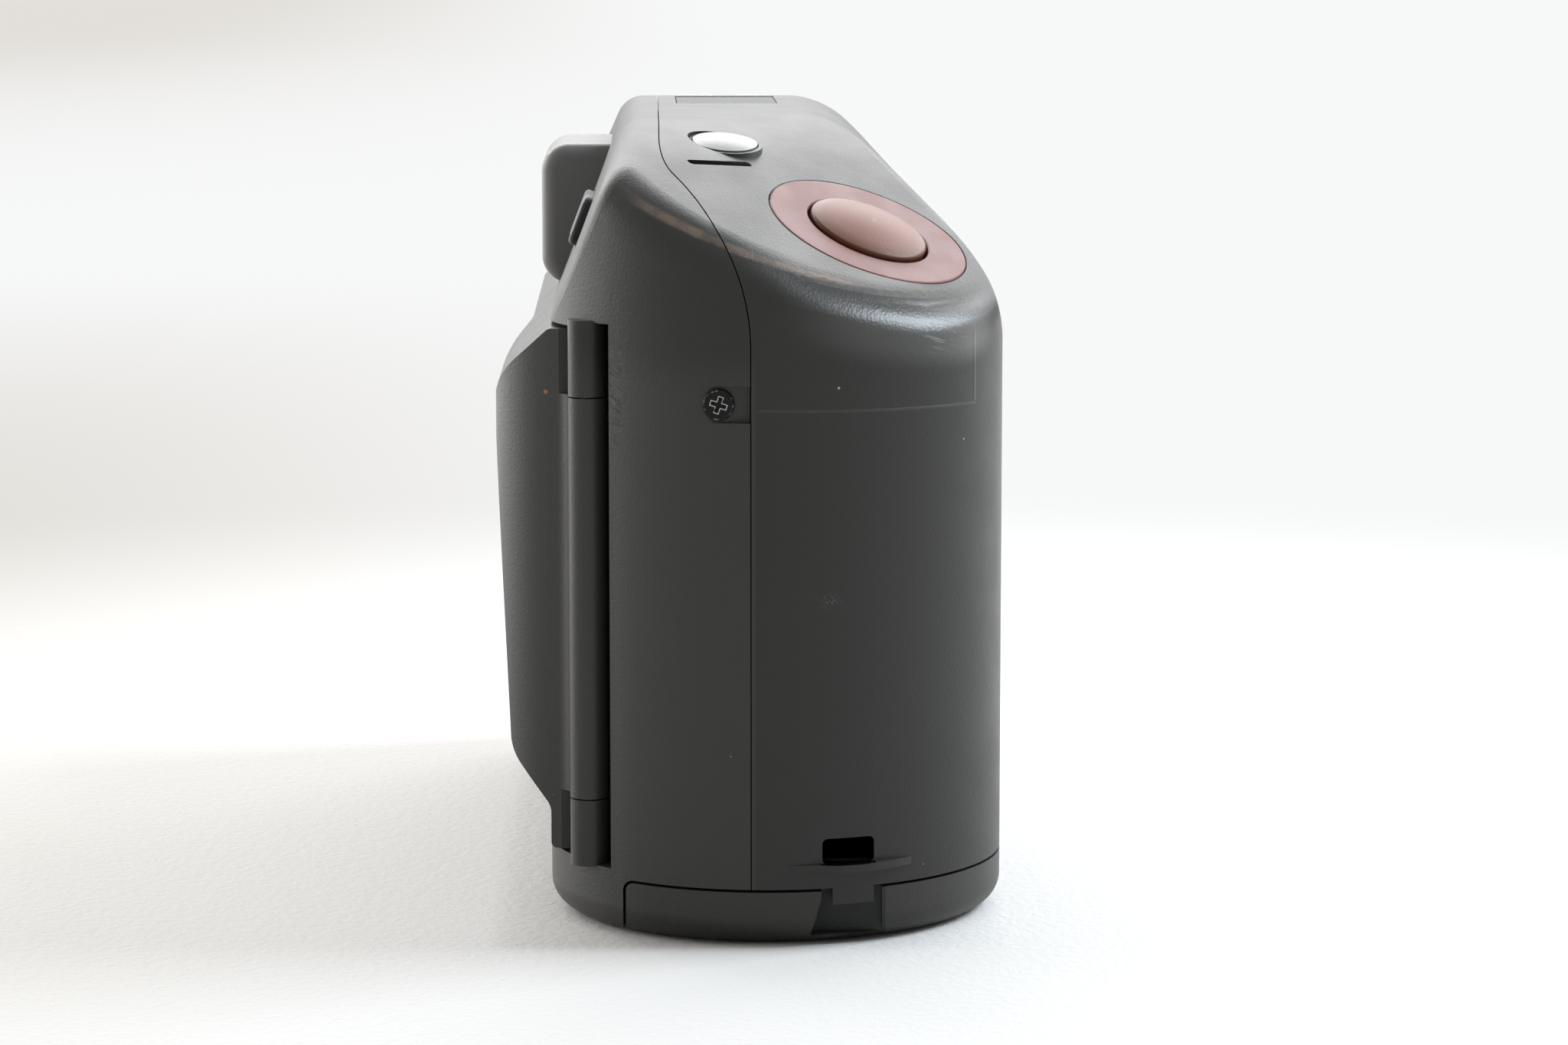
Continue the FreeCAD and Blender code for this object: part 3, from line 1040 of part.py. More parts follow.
def rear_cover():
    """Rear cover with the hinge pocket, door opening, shoulder holes and the screw recess."""
    body = cut(shell(), front_region(PARTING_GAP / 2), battery_region(0.0))
    body = cut(body, hinge_room(BATTERY_HINGE_R + BATTERY_DOOR_GAP))
    pocket_z = (POCKET_LOW_Z, POCKET_HIGH_Z)
    liner = box((GRIP_END_X + 5.0, POCKET_X + 1.2), (POCKET_EDGE_Y - 0.9, REAR_Y + 2),
                (POCKET_LOW_Z - 1.5, POCKET_HIGH_Z + 1.5))
    liner = cut(only(liner, envelope(0.6)), box((POCKET_X, 0), (DOOR_RIM_Y - 0.5, BEYOND), (0, BEYOND)))
    body = join(body, liner)
    pocket = box((-BEYOND, POCKET_X), (POCKET_EDGE_Y, BEYOND), pocket_z)
    opening = box((POCKET_X - 1, DOOR_FAR_X + DOOR_GAP), (DOOR_RIM_Y - 0.5, BEYOND),
                  (DOOR_LOW_Z - DOOR_GAP, DOOR_HIGH_Z + DOOR_GAP))
    body = cut(body, pocket, opening)
    knuckles = []
    for low, high in ((POCKET_LOW_Z - 0.2, BARREL_LOW_Z - KNUCKLE_GAP),
                      (BARREL_HIGH_Z + KNUCKLE_GAP, POCKET_HIGH_Z + 0.2)):
        knuckles.append(along_z(KNUCKLE_R, HINGE_X, HINGE_Y, low, high))
        knuckles.append(box((HINGE_X, POCKET_X + 0.6), (HINGE_Y - 1.6, HINGE_Y + 0.6), (low, high)))
    body = join(body, *knuckles)
    pin_hole = along_z(HINGE_PIN_R, HINGE_X, HINGE_Y, POCKET_LOW_Z, POCKET_HIGH_Z - 0.5)
    tongue_room = box((DOOR_FAR_X - 1, TONGUE_X + 0.3), (TOE_Y[0] - 0.5, BEYOND),
                      (TONGUE_Z[0] - 0.4, TONGUE_Z[1] + 0.4))
    knob_room = box((LATCH_X - 1, FAR_END_X + 1), (LATCH_KNOB_Y[0] - 0.3, LATCH_KNOB_Y[1] + 0.3),
                    (LATCH_Z[0] + 3 - LATCH_TRAVEL - 0.3, LATCH_Z[1] - 2.7))
    block = [(low - FIT, high + FIT) for low, high in (EYEPIECE_X, EYEPIECE_Z)]
    eyepiece_room = box(block[0], (SHOULDER_TOP_Y - 1.5, BEYOND), block[1])
    recess = along_x(SCREW_RECESS_R, END_SCREW_Y, END_SCREW_Z, GRIP_END_X - 5, END_SCREW_X)
    recess = recess.fuse(box((GRIP_END_X - 5, END_SCREW_X), (PARTING_Y - 1, END_SCREW_Y),
                             (END_SCREW_Z - SCREW_RECESS_R, END_SCREW_Z + SCREW_RECESS_R)))
    shank = along_x(SCREW_R + PIN_FIT, END_SCREW_Y, END_SCREW_Z, GRIP_END_X - 5, GRIP_END_X + 15)
    lamps = [on_shoulder(along_y(READY_LAMP_R + FIT, 0, 0, -6, 6), READY_LAMP_X, z) for z in READY_LAMP_Z]
    body = cut(body, pin_hole, tongue_room, knob_room, eyepiece_room, recess, shank, *lamps)
    rocker_hole = box((-ROCKER_HALF[0] - 0.25, ROCKER_HALF[0] + 0.25), (-6, 6),
                      (-ROCKER_HALF[1] - 0.2, ROCKER_HALF[1] + 0.2))
    lugs = []
    for side in (-1, 1):
        z = sorted((side * (ROCKER_HALF[1] + 0.2), side * (ROCKER_HALF[1] + 1.5)))
        lug = cut(box((-1.7, 1.7), (-4.4, -WALL + 0.3), z), rod(0.7 + PIN_FIT, V(0, ROCKER_PIVOT, z[0] - 1),
                                                                V(0, ROCKER_PIVOT, z[1] + 1)))
        lugs.append(on_shoulder(lug, ROCKER_X, ROCKER_Z))
    body = cut(body, on_shoulder(rocker_hole, ROCKER_X, ROCKER_Z))
    body = join(body, *lugs)
    return cut(body, *foot_holes())


ROCKER_HALF = (7.4, 2.9)
ROCKER_PIVOT = -3.0
READY_LAMP_X = 23.6
READY_LAMP_Z = (HEIGHT - 15.5, HEIGHT - 10.5)
READY_LAMP_R = 1.1


def zoom_rocker():
    """Rocking zoom key with a thumb hollow, on two small trunnions."""
    wide, tall = ROCKER_HALF
    plate = slab([(-wide, -tall, 2.2), (wide, -tall, 2.2), (wide, tall, 2.2), (-wide, tall, 2.2)],
                 in_elevation, -WALL - 1.4, 1.0)
    plate = soften(plate, 0.5, 50, lambda p: p.y > 0.9)
    hollow = rod(26.0, V(0, 26.4, -10), V(0, 26.4, 10))
    trunnions = rod(0.7, V(0, ROCKER_PIVOT, -tall - 1.4), V(0, ROCKER_PIVOT, tall + 1.4))
    return on_shoulder(join(cut(plate, hollow), trunnions), ROCKER_X, ROCKER_Z)


def ready_lamps():
    lamps = []
    for z in READY_LAMP_Z:
        lamp = rod(READY_LAMP_R, V(0, -3.0, 0), V(0, 0.1, 0))
        lamps.append(on_shoulder(lamp, READY_LAMP_X, z))
    return Part.makeCompound(lamps)


def eyepiece_block():
    """Finder eyepiece housing that stands out of the rear shoulder."""
    low = SHOULDER_TOP_Y - 1.4
    block = box(EYEPIECE_X, (low, EYEPIECE_Y), EYEPIECE_Z)
    block = soften(block, 3.2, 50, lambda p: p.y > low + 1 and EYEPIECE_X[0] < p.x < EYEPIECE_X[1])
    block = soften(block, 1.6, 50, lambda p: p.y > low + 1)
    frame = slab([(FINDER_X - 7.0, FINDER_Z - 4.0, 2.0), (FINDER_X + 7.0, FINDER_Z - 4.0, 2.0),
                  (FINDER_X + 7.0, FINDER_Z + 5.0, 2.0), (FINDER_X - 7.0, FINDER_Z + 5.0, 2.0)],
                 in_elevation, EYEPIECE_Y - 1.4, EYEPIECE_Y + 1)
    tunnel = box((FINDER_X - EYE_LENS[0], FINDER_X + EYE_LENS[0]), (low - 1, EYEPIECE_Y + 1),
                 (FINDER_Z - EYE_LENS[1], FINDER_Z + EYE_LENS[1]))
    return cut(block, frame, tunnel)


EYE_LENS = (5.2, 3.4)


def eyepiece_lens():
    glass = box((FINDER_X - EYE_LENS[0], FINDER_X + EYE_LENS[0]), (EYEPIECE_Y - 4.4, EYEPIECE_Y - 1.6),
                (FINDER_Z - EYE_LENS[1], FINDER_Z + EYE_LENS[1]))
    return only(glass, Part.makeSphere(30.0, V(FINDER_X, EYEPIECE_Y - 31.6, FINDER_Z)))


FINDER_TUBE_Y = (WINDOW_BACK_Y + 0.3, SHOULDER_TOP_Y - 1.6)
FINDER_TUBE_HALF = (7.6, 5.4)


def finder_tube():
    """Black tube that holds the finder lenses between the window and the eyepiece."""
    wide, tall = FINDER_TUBE_HALF
    outer = box((FINDER_X - wide, FINDER_X + wide), FINDER_TUBE_Y, (FINDER_Z - tall, FINDER_Z + tall))
    inner = box((FINDER_X - wide + 1, FINDER_X + wide - 1), (-BEYOND, BEYOND),
                (FINDER_Z - tall + 1, FINDER_Z + tall - 1))
    legs = [box((FINDER_X + x - 1.2, FINDER_X + x + 1.2), (GATE_Y[0] - 3.0, FINDER_TUBE_Y[1]),
                (FRAME_EDGE_Z[1] - 0.0, FINDER_Z - tall + 0.5)) for x in (-5.0, 5.0)]
    return join(cut(outer, inner), *legs)


def finder_lenses():
    wide, tall = FINDER_TUBE_HALF[0] - 1, FINDER_TUBE_HALF[1] - 1
    lenses = []
    for y, thick in ((FINDER_TUBE_Y[0] + 5.0, 1.8), (FINDER_TUBE_Y[0] + 13.0, 2.4)):
        glass = box((FINDER_X - wide, FINDER_X + wide), (y, y + thick), (FINDER_Z - tall, FINDER_Z + tall))
        lenses.append(only(glass, Part.makeSphere(24.0, V(FINDER_X, y + 24.0, FINDER_Z))))
    return Part.makeCompound(lenses)


# Release, power and top buttons

def release_ring():
    """Tinted metal ring let into the top round the release button."""
    ring = tube(RELEASE_RING_R, RELEASE_BUTTON_R + 0.3, V(0, 0, -RING_THICK), V(0, 0, 0.05))
    ring = soften(ring, 0.25, 50, lambda p: p.z > 0.04)
    return on_top(ring, RELEASE_X, RELEASE_Y)


def release_button():
    """Domed button whose stem passes through the guide plate and is held by a clip."""
    rim, crown_height = 0.4, 1.05
    radius = RELEASE_BUTTON_R
    bulge = (radius ** 2 + crown_height ** 2) / (2 * crown_height)
    cap = rod(radius, V(0, 0, -RELEASE_SKIRT), V(0, 0, rim + crown_height))
    cap = only(cap, Part.makeSphere(bulge, V(0, 0, rim + crown_height - bulge)))
    cap = soften(cap, 0.35, 20, lambda p: abs(p.z - rim) < 0.2)
    stem = rod(2.6, V(0, 0, -GUIDE_Z[1] - 1.1), V(0, 0, -RELEASE_SKIRT + 0.5))
    clip = rod(4.0, V(0, 0, -GUIDE_Z[1] - 0.9), V(0, 0, -GUIDE_Z[1] - 0.05))
    return on_top(join(cap, stem, clip), RELEASE_X, RELEASE_Y)


RELEASE_SKIRT = 3.9
GUIDE_Z = (5.2, 6.0)


def release_guide():
    """Plate and cup under the ring that guide the stem and carry the release switch."""
    plate = rod(RELEASE_BUTTON_R + 2.2, V(0, 0, -GUIDE_Z[1]), V(0, 0, -GUIDE_Z[0]))
    cup = tube(6.4, 5.4, V(0, 0, -10.4), V(0, 0, -GUIDE_Z[1]))
    floor = rod(6.4, V(0, 0, -11.2), V(0, 0, -10.4))
    body = cut(join(plate, cup, floor), rod(2.6 + PIN_FIT, V(0, 0, -GUIDE_Z[1] - 1), V(0, 0, 0)))
    return on_top(body, RELEASE_X, RELEASE_Y)


def power_button():
    """Round bright button, slightly domed, with a flange below the cover."""
    crown_height, top = 0.45, POWER_RIM_RISE + 0.6
    bulge = (POWER_R ** 2 + crown_height ** 2) / (2 * crown_height)
    cap = rod(POWER_R, V(0, 0, -2.5), V(0, 0, top))
    cap = only(cap, Part.makeSphere(bulge, V(0, 0, top - bulge)))
    flange = rod(POWER_R + 0.8, V(0, 0, -3.2), V(0, 0, -2.35))
    stem = rod(1.2, V(0, 0, -3.5), V(0, 0, -3.1))
    return on_rim(join(cap, flange, stem))


def top_button(y):
    base = HEIGHT - WALL
    cap = along_z(TOP_BUTTON_R, TOP_BUTTON_X, y, base - 1.0, HEIGHT + 0.0)
    cap = soften(cap, 0.4, 50, lambda p: p.z > HEIGHT - 0.1)
    flange = along_z(TOP_BUTTON_R + 0.7, TOP_BUTTON_X, y, base - 1.4, base - 0.6)
    stem = along_z(1.0, TOP_BUTTON_X, y, BOARD_Z[1] + SWITCH_TALL + BUTTON_TRAVEL + 0.1, base - 1.2)
    return join(cap, flange, stem)


BOARD_Z = (HEIGHT - 8.3, HEIGHT - 7.3)
SWITCH_TALL = 0.8


def top_board():
    """Circuit board under the top that carries the display and the key switches."""
    far_x = TOP_BUTTON_X + 3.5
    return slab([(POWER_X - 1.7, 2.6), (POWER_X + 2.5, -2.0), (POWER_X + 12.5, -6.0), (far_x, -6.0),
                 (far_x, 9.0), (POWER_X - 1.7, 9.0)], in_plan, *BOARD_Z)


def key_switches():
    """Small switches under the power, release and two top buttons."""
    places = [(POWER_X + 0.9, POWER_Y + 0.9)] + [(TOP_BUTTON_X, y) for y in TOP_BUTTON_Y]
    switches = []
    for x, y in places:
        switches.append(box((x - 1.4, x + 1.4), (y - 1.4, y + 1.4), (BOARD_Z[1], BOARD_Z[1] + SWITCH_TALL)))
    pad = rod(3.4, V(0, 0, -10.4), V(0, 0, -9.2))
    dome = rod(2.0, V(0, 0, -9.3), V(0, 0, -8.2))
    switches.append(on_top(join(pad, dome), RELEASE_X, RELEASE_Y))
    return Part.makeCompound(switches)


def display_window():
    return box(*DISPLAY, (HEIGHT - 1.5, HEIGHT - 0.05))


def display_panel():
    inner = [(low + 1.2, high - 1.2) for low, high in DISPLAY]
    return box(*inner, (BOARD_Z[1], HEIGHT - 1.7))


def rewind_button():
    shaft = along_z(REWIND_BUTTON_R, REWIND_BUTTON_X, REWIND_BUTTON_Y, 0.5, WALL + 2.0)
    flange = along_z(REWIND_BUTTON_R + 0.8, REWIND_BUTTON_X, REWIND_BUTTON_Y, WALL + 0.1, WALL + 0.9)
    return join(shaft, flange)


# Battery room

HOLDER_WALL = 0.9
CELL_GAP = 0.3
HOLDER_Z = (BATTERY_DOOR_TOP + 0.3, CELL_LOW_Z + CELL_HEIGHT + 2.0)


def battery_cells():
    cells = []
    for x in CELL_X:
        can = along_z(CELL_R, x, CELL_Y, CELL_LOW_Z, CELL_LOW_Z + CELL_HEIGHT - 1.0)
        cap = along_z(3.2, x, CELL_Y, CELL_LOW_Z + CELL_HEIGHT - 1.1, CELL_LOW_Z + CELL_HEIGHT)
        cells.append(can.fuse(cap))
    return Part.makeCompound(cells)


def battery_holder():
    """Twin tube that guides the two cells, closed at its top."""
    skins = [along_z(CELL_R + CELL_GAP + HOLDER_WALL, x, CELL_Y, *HOLDER_Z) for x in CELL_X]
    bridge = box(CELL_X, (CELL_Y - 4, CELL_Y + 4), HOLDER_Z)
    rooms = [along_z(CELL_R + CELL_GAP, x, CELL_Y, HOLDER_Z[0] - 1, HOLDER_Z[1] - 1.0) for x in CELL_X]
    rooms.append(box(CELL_X, (CELL_Y - 2.5, CELL_Y + 2.5), (HOLDER_Z[0] - 1, HOLDER_Z[1] - 1.0)))
    return cut(join(bridge, *skins), *rooms)


def battery_contacts():
    """Spring leaves above the two cells."""
    top = HOLDER_Z[1] - 1.0
    leaves = []
    for x in CELL_X:
        leaf = box((x - 4.0, x + 4.0), (CELL_Y - 2.0, CELL_Y + 2.0), (top - 0.4, top))
        foot = box((x - 1.5, x + 1.5), (CELL_Y - 2.0, CELL_Y + 2.0),
                   (CELL_LOW_Z + CELL_HEIGHT, top - 0.3))
        leaves.append(join(leaf, foot))
    return Part.makeCompound(leaves)


def battery_door():
    """Tray shaped door under the grip with the strap notch and its hinge barrels."""
    tray = only(shell(), battery_region(BATTERY_DOOR_GAP))
    hinge = (BATTERY_HINGE_X, BATTERY_HINGE_R)
    y_low, y_high = FRONT_Y + WALL + 0.4, BATTERY_DOOR_REAR_Y - 1.0
    barrel = along_y(BATTERY_HINGE_R, *hinge, y_low, y_high)
    tongue = box((BATTERY_HINGE_X - 4.0, BATTERY_HINGE_X), (y_low, y_high), (0.0, 2.0))
    body = join(tray, barrel, tongue)
    for low, high in LUG_Y:
        body = body.cut(along_y(BATTERY_HINGE_R + BATTERY_DOOR_GAP, *hinge, low - 0.2, high + 0.2))
    body = cut(body, along_y(BATTERY_PIN_R + PIN_FIT, *hinge, -BEYOND, BEYOND))
    notch = slab([(NOTCH_LOW_Y, 0.9), (NOTCH_HIGH_Y + 1.2, 0.9), (NOTCH_HIGH_Y, 5.0, 2.0),
                  (NOTCH_HIGH_Y, 9.0), (NOTCH_LOW_Y, 9.0)], in_section, -BEYOND, NOTCH_BACK_X)
    back = only(box((NOTCH_BACK_X, NOTCH_BACK_X + 1.2), (NOTCH_LOW_Y - 1, NOTCH_HIGH_Y + 1),
                    (1.0, BATTERY_DOOR_TOP - BATTERY_DOOR_GAP)), rounded_envelope())
    latch_room = box((LATCH_KEY_X[0] - 0.2, LATCH_KEY_X[1] + 1.9),
                     (LATCH_KEY_Y[0] - 0.2, LATCH_KEY_Y[1] + 0.2), (-1, 1.0))
    pads = [box((x - 2.2, x + 2.2), (CELL_Y - 2.0, CELL_Y + 2.0), (WALL - 0.1, CELL_LOW_Z - 0.05))
            for x in CELL_X]
    return cut(join(cut(body, notch), back, *pads), latch_room)


NOTCH_BACK_X = GRIP_END_X + 3.6
LUG_Y = ((-9.0, -3.0), (4.5, 10.5))
LATCH_KEY_X = (GRIP_END_X + 13.0, GRIP_END_X + 21.0)
LATCH_KEY_Y = (1.0, 7.0)


def battery_latch():
    """Sliding key let into the underside of the battery door."""
    key = box(LATCH_KEY_X, LATCH_KEY_Y, (0.05, 0.95))
    for ridge in range(3):
        x = LATCH_KEY_X[0] + 1.6 + ridge * 2.0
        key = key.cut(box((x, x + 0.8), LATCH_KEY_Y, (0, 0.35)))
    return key


def battery_hinge():
    """Two lugs on a strip inside the bottom that carry the battery door's pin."""
    hinge = (BATTERY_HINGE_X, BATTERY_HINGE_R)
    pieces = []
    for low, high in LUG_Y:
        pieces.append(along_y(BATTERY_HINGE_R, *hinge, low, high))
        pieces.append(box((BATTERY_HINGE_X, BATTERY_HINGE_X + 4.5), (low, high), (WALL + 0.05, WALL + 1.4)))
    strip = box((BATTERY_HINGE_X + 2.3, BATTERY_HINGE_X + 6.5), (LUG_Y[0][0], LUG_Y[1][1]),
                (WALL + 0.05, WALL + 1.4))
    body = join(strip, *pieces)
    return cut(body, along_y(BATTERY_PIN_R, *hinge, -BEYOND, BEYOND))


def battery_hinge_pin():
    return along_y(BATTERY_PIN_R, BATTERY_HINGE_X, BATTERY_HINGE_R, FRONT_Y + WALL + 0.6,
                   BATTERY_DOOR_REAR_Y - 1.2)


# Inner works

def tripod_socket():
    body = along_z(SOCKET_R, SOCKET_X, SOCKET_Y, 0.0, SOCKET_DEPTH + 1.2)
    flange = along_z(SOCKET_R + 1.3, SOCKET_X, SOCKET_Y, WALL + 0.02, WALL + 1.2)
    return cut(join(body, flange), along_z(SOCKET_BORE_R, SOCKET_X, SOCKET_Y, -1, SOCKET_DEPTH))


CAPACITOR_R = 6.8


def flash_capacitor():
    body = along_x(CAPACITOR_R, -12.5, HOLDER_Z[1] + 0.2 + CAPACITOR_R, GRIP_END_X + 12.0, GRIP_END_X + 37.0)
    return soften(body, 0.9, 50, lambda p: True)


BOARD_X = (FAR_END_X - 37.0, FAR_END_X - 6.5)


def main_board():
    """Main circuit board in front of the cartridge chamber with its larger chips."""
    low, high = BOARD_X
    board = box(BOARD_X, (-11.6, -10.6), (6.0, CHAMBER_HIGH_Z - 0.5))
    chips = [box((low + x, low + x + w), (-13.0, -11.5), (z, z + h))
             for x, z, w, h in ((3.0, 14.0, 12.0, 12.0), (18.0, 30.0, 9.0, 14.0), (4.0, 38.0, 8.0, 8.0))]
    edge = box((high - 3.0, high), (-10.7, CARTRIDGE_Y - CARTRIDGE_CHAMBER_R + 4), (9.0, 10.2))
    return join(board, edge, *chips)


def save(name, shape):
    shape.exportStep("parts/" + name + ".step")


def build():
    os.makedirs("parts", exist_ok=True)
    pieces = {
        "front_cover": front_cover(),
        "rear_cover": rear_cover(),
        "chassis": chassis(),
        "film_door": film_door(),
        "door_hinge_pin": door_hinge_pin(),
        "film_window": film_window(),
        "pressure_plate": pressure_plate(),
        "plate_spring": plate_spring(),
        "door_latch": door_latch(),
        "battery_door": battery_door(),
        "battery_hinge": battery_hinge(),
        "battery_hinge_pin": battery_hinge_pin(),
        "battery_latch": battery_latch(),
        "battery_cells": battery_cells(),
        "battery_holder": battery_holder(),
        "battery_contacts": battery_contacts(),
        "release_ring": release_ring(),
        "release_button": release_button(),
        "release_guide": release_guide(),
        "power_button": power_button(),
        "flash_mode_button": top_button(TOP_BUTTON_Y[0]),
        "self_timer_button": top_button(TOP_BUTTON_Y[1]),
        "top_board": top_board(),
        "key_switches": key_switches(),
        "rewind_button": rewind_button(),
        "display_window": display_window(),
        "display_panel": display_panel(),
        "zoom_rocker": zoom_rocker(),
        "ready_lamps": ready_lamps(),
        "eyepiece_block": eyepiece_block(),
        "eyepiece_lens": eyepiece_lens(),
        "finder_tube": finder_tube(),
        "finder_lenses": finder_lenses(),
        "finder_window": finder_window(),
        "focus_windows": focus_windows(),
        "timer_lamp": timer_lamp(),
        "flash_window": flash_window(),
        "flash_reflector": flash_reflector(),
        "flash_tube": flash_tube(),
        "flash_capacitor": flash_capacitor(),
        "lens_ring": lens_ring(),
        "zoom_barrel_outer": zoom_barrel_outer(),
        "zoom_barrel_inner": zoom_barrel_inner(),
        "barrier_blade_upper": barrier_blade(1),
        "barrier_blade_lower": barrier_blade(-1),
        "front_lens": front_lens(),
        "rear_lens": rear_lens(),
        "shutter_unit": shutter_unit(),
        "cam_ring": cam_ring(),
        "zoom_pinion": zoom_pinion(),
        "zoom_motor": zoom_motor(),
        "take_up_spool": take_up_spool(),
        "film_motor": film_motor(),
        "motor_pinion": motor_pinion(),
        "idler_gear": idler_gear(),
        "sprocket": sprocket(),
        "rewind_fork": rewind_fork(),
        "tripod_socket": tripod_socket(),
        "main_board": main_board(),
        "case_screws": case_screws(),
    }
    for name, shape in pieces.items():
        save(name, shape)


build()
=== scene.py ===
import bpy
import math
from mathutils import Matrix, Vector

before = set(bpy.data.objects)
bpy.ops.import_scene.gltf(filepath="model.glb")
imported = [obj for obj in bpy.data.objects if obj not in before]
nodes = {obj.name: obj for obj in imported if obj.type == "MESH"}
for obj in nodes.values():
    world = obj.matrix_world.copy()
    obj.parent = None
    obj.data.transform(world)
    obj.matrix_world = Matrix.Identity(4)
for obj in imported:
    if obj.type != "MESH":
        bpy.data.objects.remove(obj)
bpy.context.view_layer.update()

# Viewpoint
# The photograph was taken from a little above the grip end, looking along the
# body, slightly down and towards the lens side, through a 105 mm lens.
view = bpy.data.cameras.new("view")
view.sensor_width = 36.0
view.lens = 105.47
view.clip_start = 0.01
view.clip_end = 50.0
viewer = bpy.data.objects.new("view", view)
bpy.context.collection.objects.link(viewer)
turn, dip = math.radians(1.693), math.radians(7.712)
looking = Vector((math.cos(dip) * math.cos(turn), -math.cos(dip) * math.sin(turn), -math.sin(dip)))
viewer.location = (-0.545, 0.0115, 0.1107)
viewer.rotation_euler = looking.to_track_quat("-Z", "Y").to_euler()
bpy.context.scene.camera = viewer
bpy.context.scene.view_settings.view_transform = "Standard"


# Table and studio light
# A pale painted table top under even white light: one large panel beyond the
# far end, a bluish one high on the lens side, and a faint one low on each side.
class Wire:
    """One output of a node, so that a sum of outputs is written as a sum."""

    def __init__(self, wiring, socket):
        self.wiring, self.socket = wiring, socket

    def join(self, operation, other, swapped=False):
        first, second = (other, self) if swapped else (self, other)
        return self.wiring.node("ShaderNodeMath", {"operation": operation}, {0: first, 1: second})

    def __add__(self, other):
        return self.join("ADD", other)

    def __radd__(self, other):
        return self.join("ADD", other, True)

    def __sub__(self, other):
        return self.join("SUBTRACT", other)

    def __rsub__(self, other):
        return self.join("SUBTRACT", other, True)

    def __mul__(self, other):
        return self.join("MULTIPLY", other)

    def __rmul__(self, other):
        return self.join("MULTIPLY", other, True)

    def __pow__(self, other):
        return self.join("POWER", other)

    def part(self, axis):
        return self.wiring.node("ShaderNodeSeparateXYZ", {}, {"Vector": self}, axis)

    def size(self):
        return self.join("ABSOLUTE", 0.0)

    def ramp(self, low, high, start=0.0, end=1.0):
        """Eases from start to end while the value goes from low to high."""
        return self.wiring.node("ShaderNodeMapRange", {"interpolation_type": "SMOOTHSTEP"},
                                {"Value": self, "From Min": low, "From Max": high,
                                 "To Min": start, "To Max": end})

    def near(self, middle, whole, none):
        """Is 1 as far as whole from the middle, and eases to 0 at none from it."""
        return (self - middle).size().ramp(none, whole)


class Wiring:
    """The nodes of one finish, or of the studio light."""

    def __init__(self, owner):
        owner.use_nodes = True
        self.tree = owner.node_tree

    def node(self, kind, settings, values, output=0):
        made = self.tree.nodes.new(kind)
        for name, value in settings.items():
            setattr(made, name, value)
        for name, value in values.items():
            self.feed(made.inputs[name], value)
        return Wire(self, made.outputs[output])

    def feed(self, socket, value):
        if isinstance(value, Wire):
            self.tree.links.new(value.socket, socket)
        elif socket.type == "RGBA":
            socket.default_value = (*value, 1.0)
        else:
            socket.default_value = value


class Finish(Wiring):
    """One material, whose patterns are all in metres on the piece itself."""

    def __init__(self, name):
        self.material = bpy.data.materials.new(name)
        super().__init__(self.material)
        self.shader = self.tree.nodes["Principled BSDF"]
        self.place = self.node("ShaderNodeTexCoord", {}, {}, "Object")

    def noise(self, scale, detail=2.0, roughness=0.5, at=None):
        return self.node("ShaderNodeTexNoise", {}, {"Vector": at or self.place, "Scale": scale,
                                                    "Detail": detail, "Roughness": roughness})

    def blend(self, share, first, second):
        return self.node("ShaderNodeMix", {"data_type": "RGBA"},
                         {"Factor": share, "A": first, "B": second}, "Result")

    def bump(self, height, distance, strength, before=None):
        values = {"Height": height, "Distance": distance, "Strength": strength}
        if before:
            values["Normal"] = before
        return self.node("ShaderNodeBump", {}, values)

    def paint(self, **sockets):
        names = {"colour": "Base Color", "roughness": "Roughness", "metallic": "Metallic",
                 "coat": "Coat Weight", "coat_roughness": "Coat Roughness", "normal": "Normal",
                 "alpha": "Alpha", "specular": "Specular IOR Level"}
        for name, value in sockets.items():
            self.feed(self.shader.inputs[names[name]], value)

    def put_on(self, *pieces):
        for piece in pieces:
            piece = nodes[piece] if isinstance(piece, str) else piece
            if not piece.data.materials:
                piece.data.materials.append(self.material)
            for index in range(len(piece.data.materials)):
                piece.data.materials[index] = self.material


bpy.ops.object.select_all(action="DESELECT")
bpy.ops.mesh.primitive_plane_add(size=12.0, location=(2.0, 0.0, -0.0002))
table = bpy.context.object
table.name = "table_top"
bpy.ops.object.transform_apply(location=True, rotation=True, scale=True)
top = Finish("table_top")
x, y = (top.place.part(axis) for axis in "XY")
# Painted shadow: towards the left the table is painted darker and warmer, where the camera's soft shadow
# falls.
painted_shadow_left = y.ramp(-0.04, 0.16) * x.ramp(0.9, 0.2) + y.ramp(-0.10, 0.50) * x.ramp(0.8, 3.4)
painted_shadow_left = painted_shadow_left * (y - x * 0.16).ramp(0.60, 0.25)
warm_white, cool_white, shaded_white = (0.70, 0.686, 0.655), (0.74, 0.733, 0.717), (0.60, 0.565, 0.515)
cloudy_white = top.blend(top.noise(7.0), warm_white, cool_white)
top.paint(colour=top.blend(painted_shadow_left * 0.6, cloudy_white, shaded_white), roughness=0.75, specular=0.2,
          normal=top.bump(top.noise(900.0, 4.0, 0.6), 0.0004, 0.35))

# Away from the camera the table runs into plain white; right under the base it
# stays dark, so that no joint of the camera shows it pale.
far_off = ((x * x + y * y) ** 0.5).ramp(0.05, 0.32, 0.25, 1.0)
covered = x.size().ramp(0.068, 0.062) * y.size().ramp(0.0300, 0.0260)
seen = top.node("ShaderNodeLightPath", {}, {}, "Is Camera Ray")
# The white haze is painted darker and warmer to the left as well, as the same painted shadow.
plain_white, painted_shadow_white = (0.935, 0.94, 0.945), (0.765, 0.740, 0.700)
haze = top.node("ShaderNodeEmission", {}, {"Color": top.blend(painted_shadow_left, plain_white, painted_shadow_white)})
shown = top.node("ShaderNodeMixShader", {}, {0: far_off * seen * (1.0 - covered),
                                             1: Wire(top, top.shader.outputs[0]), 2: haze})
top.feed(top.tree.nodes["Material Output"].inputs["Surface"], shown)
top.put_on(table)

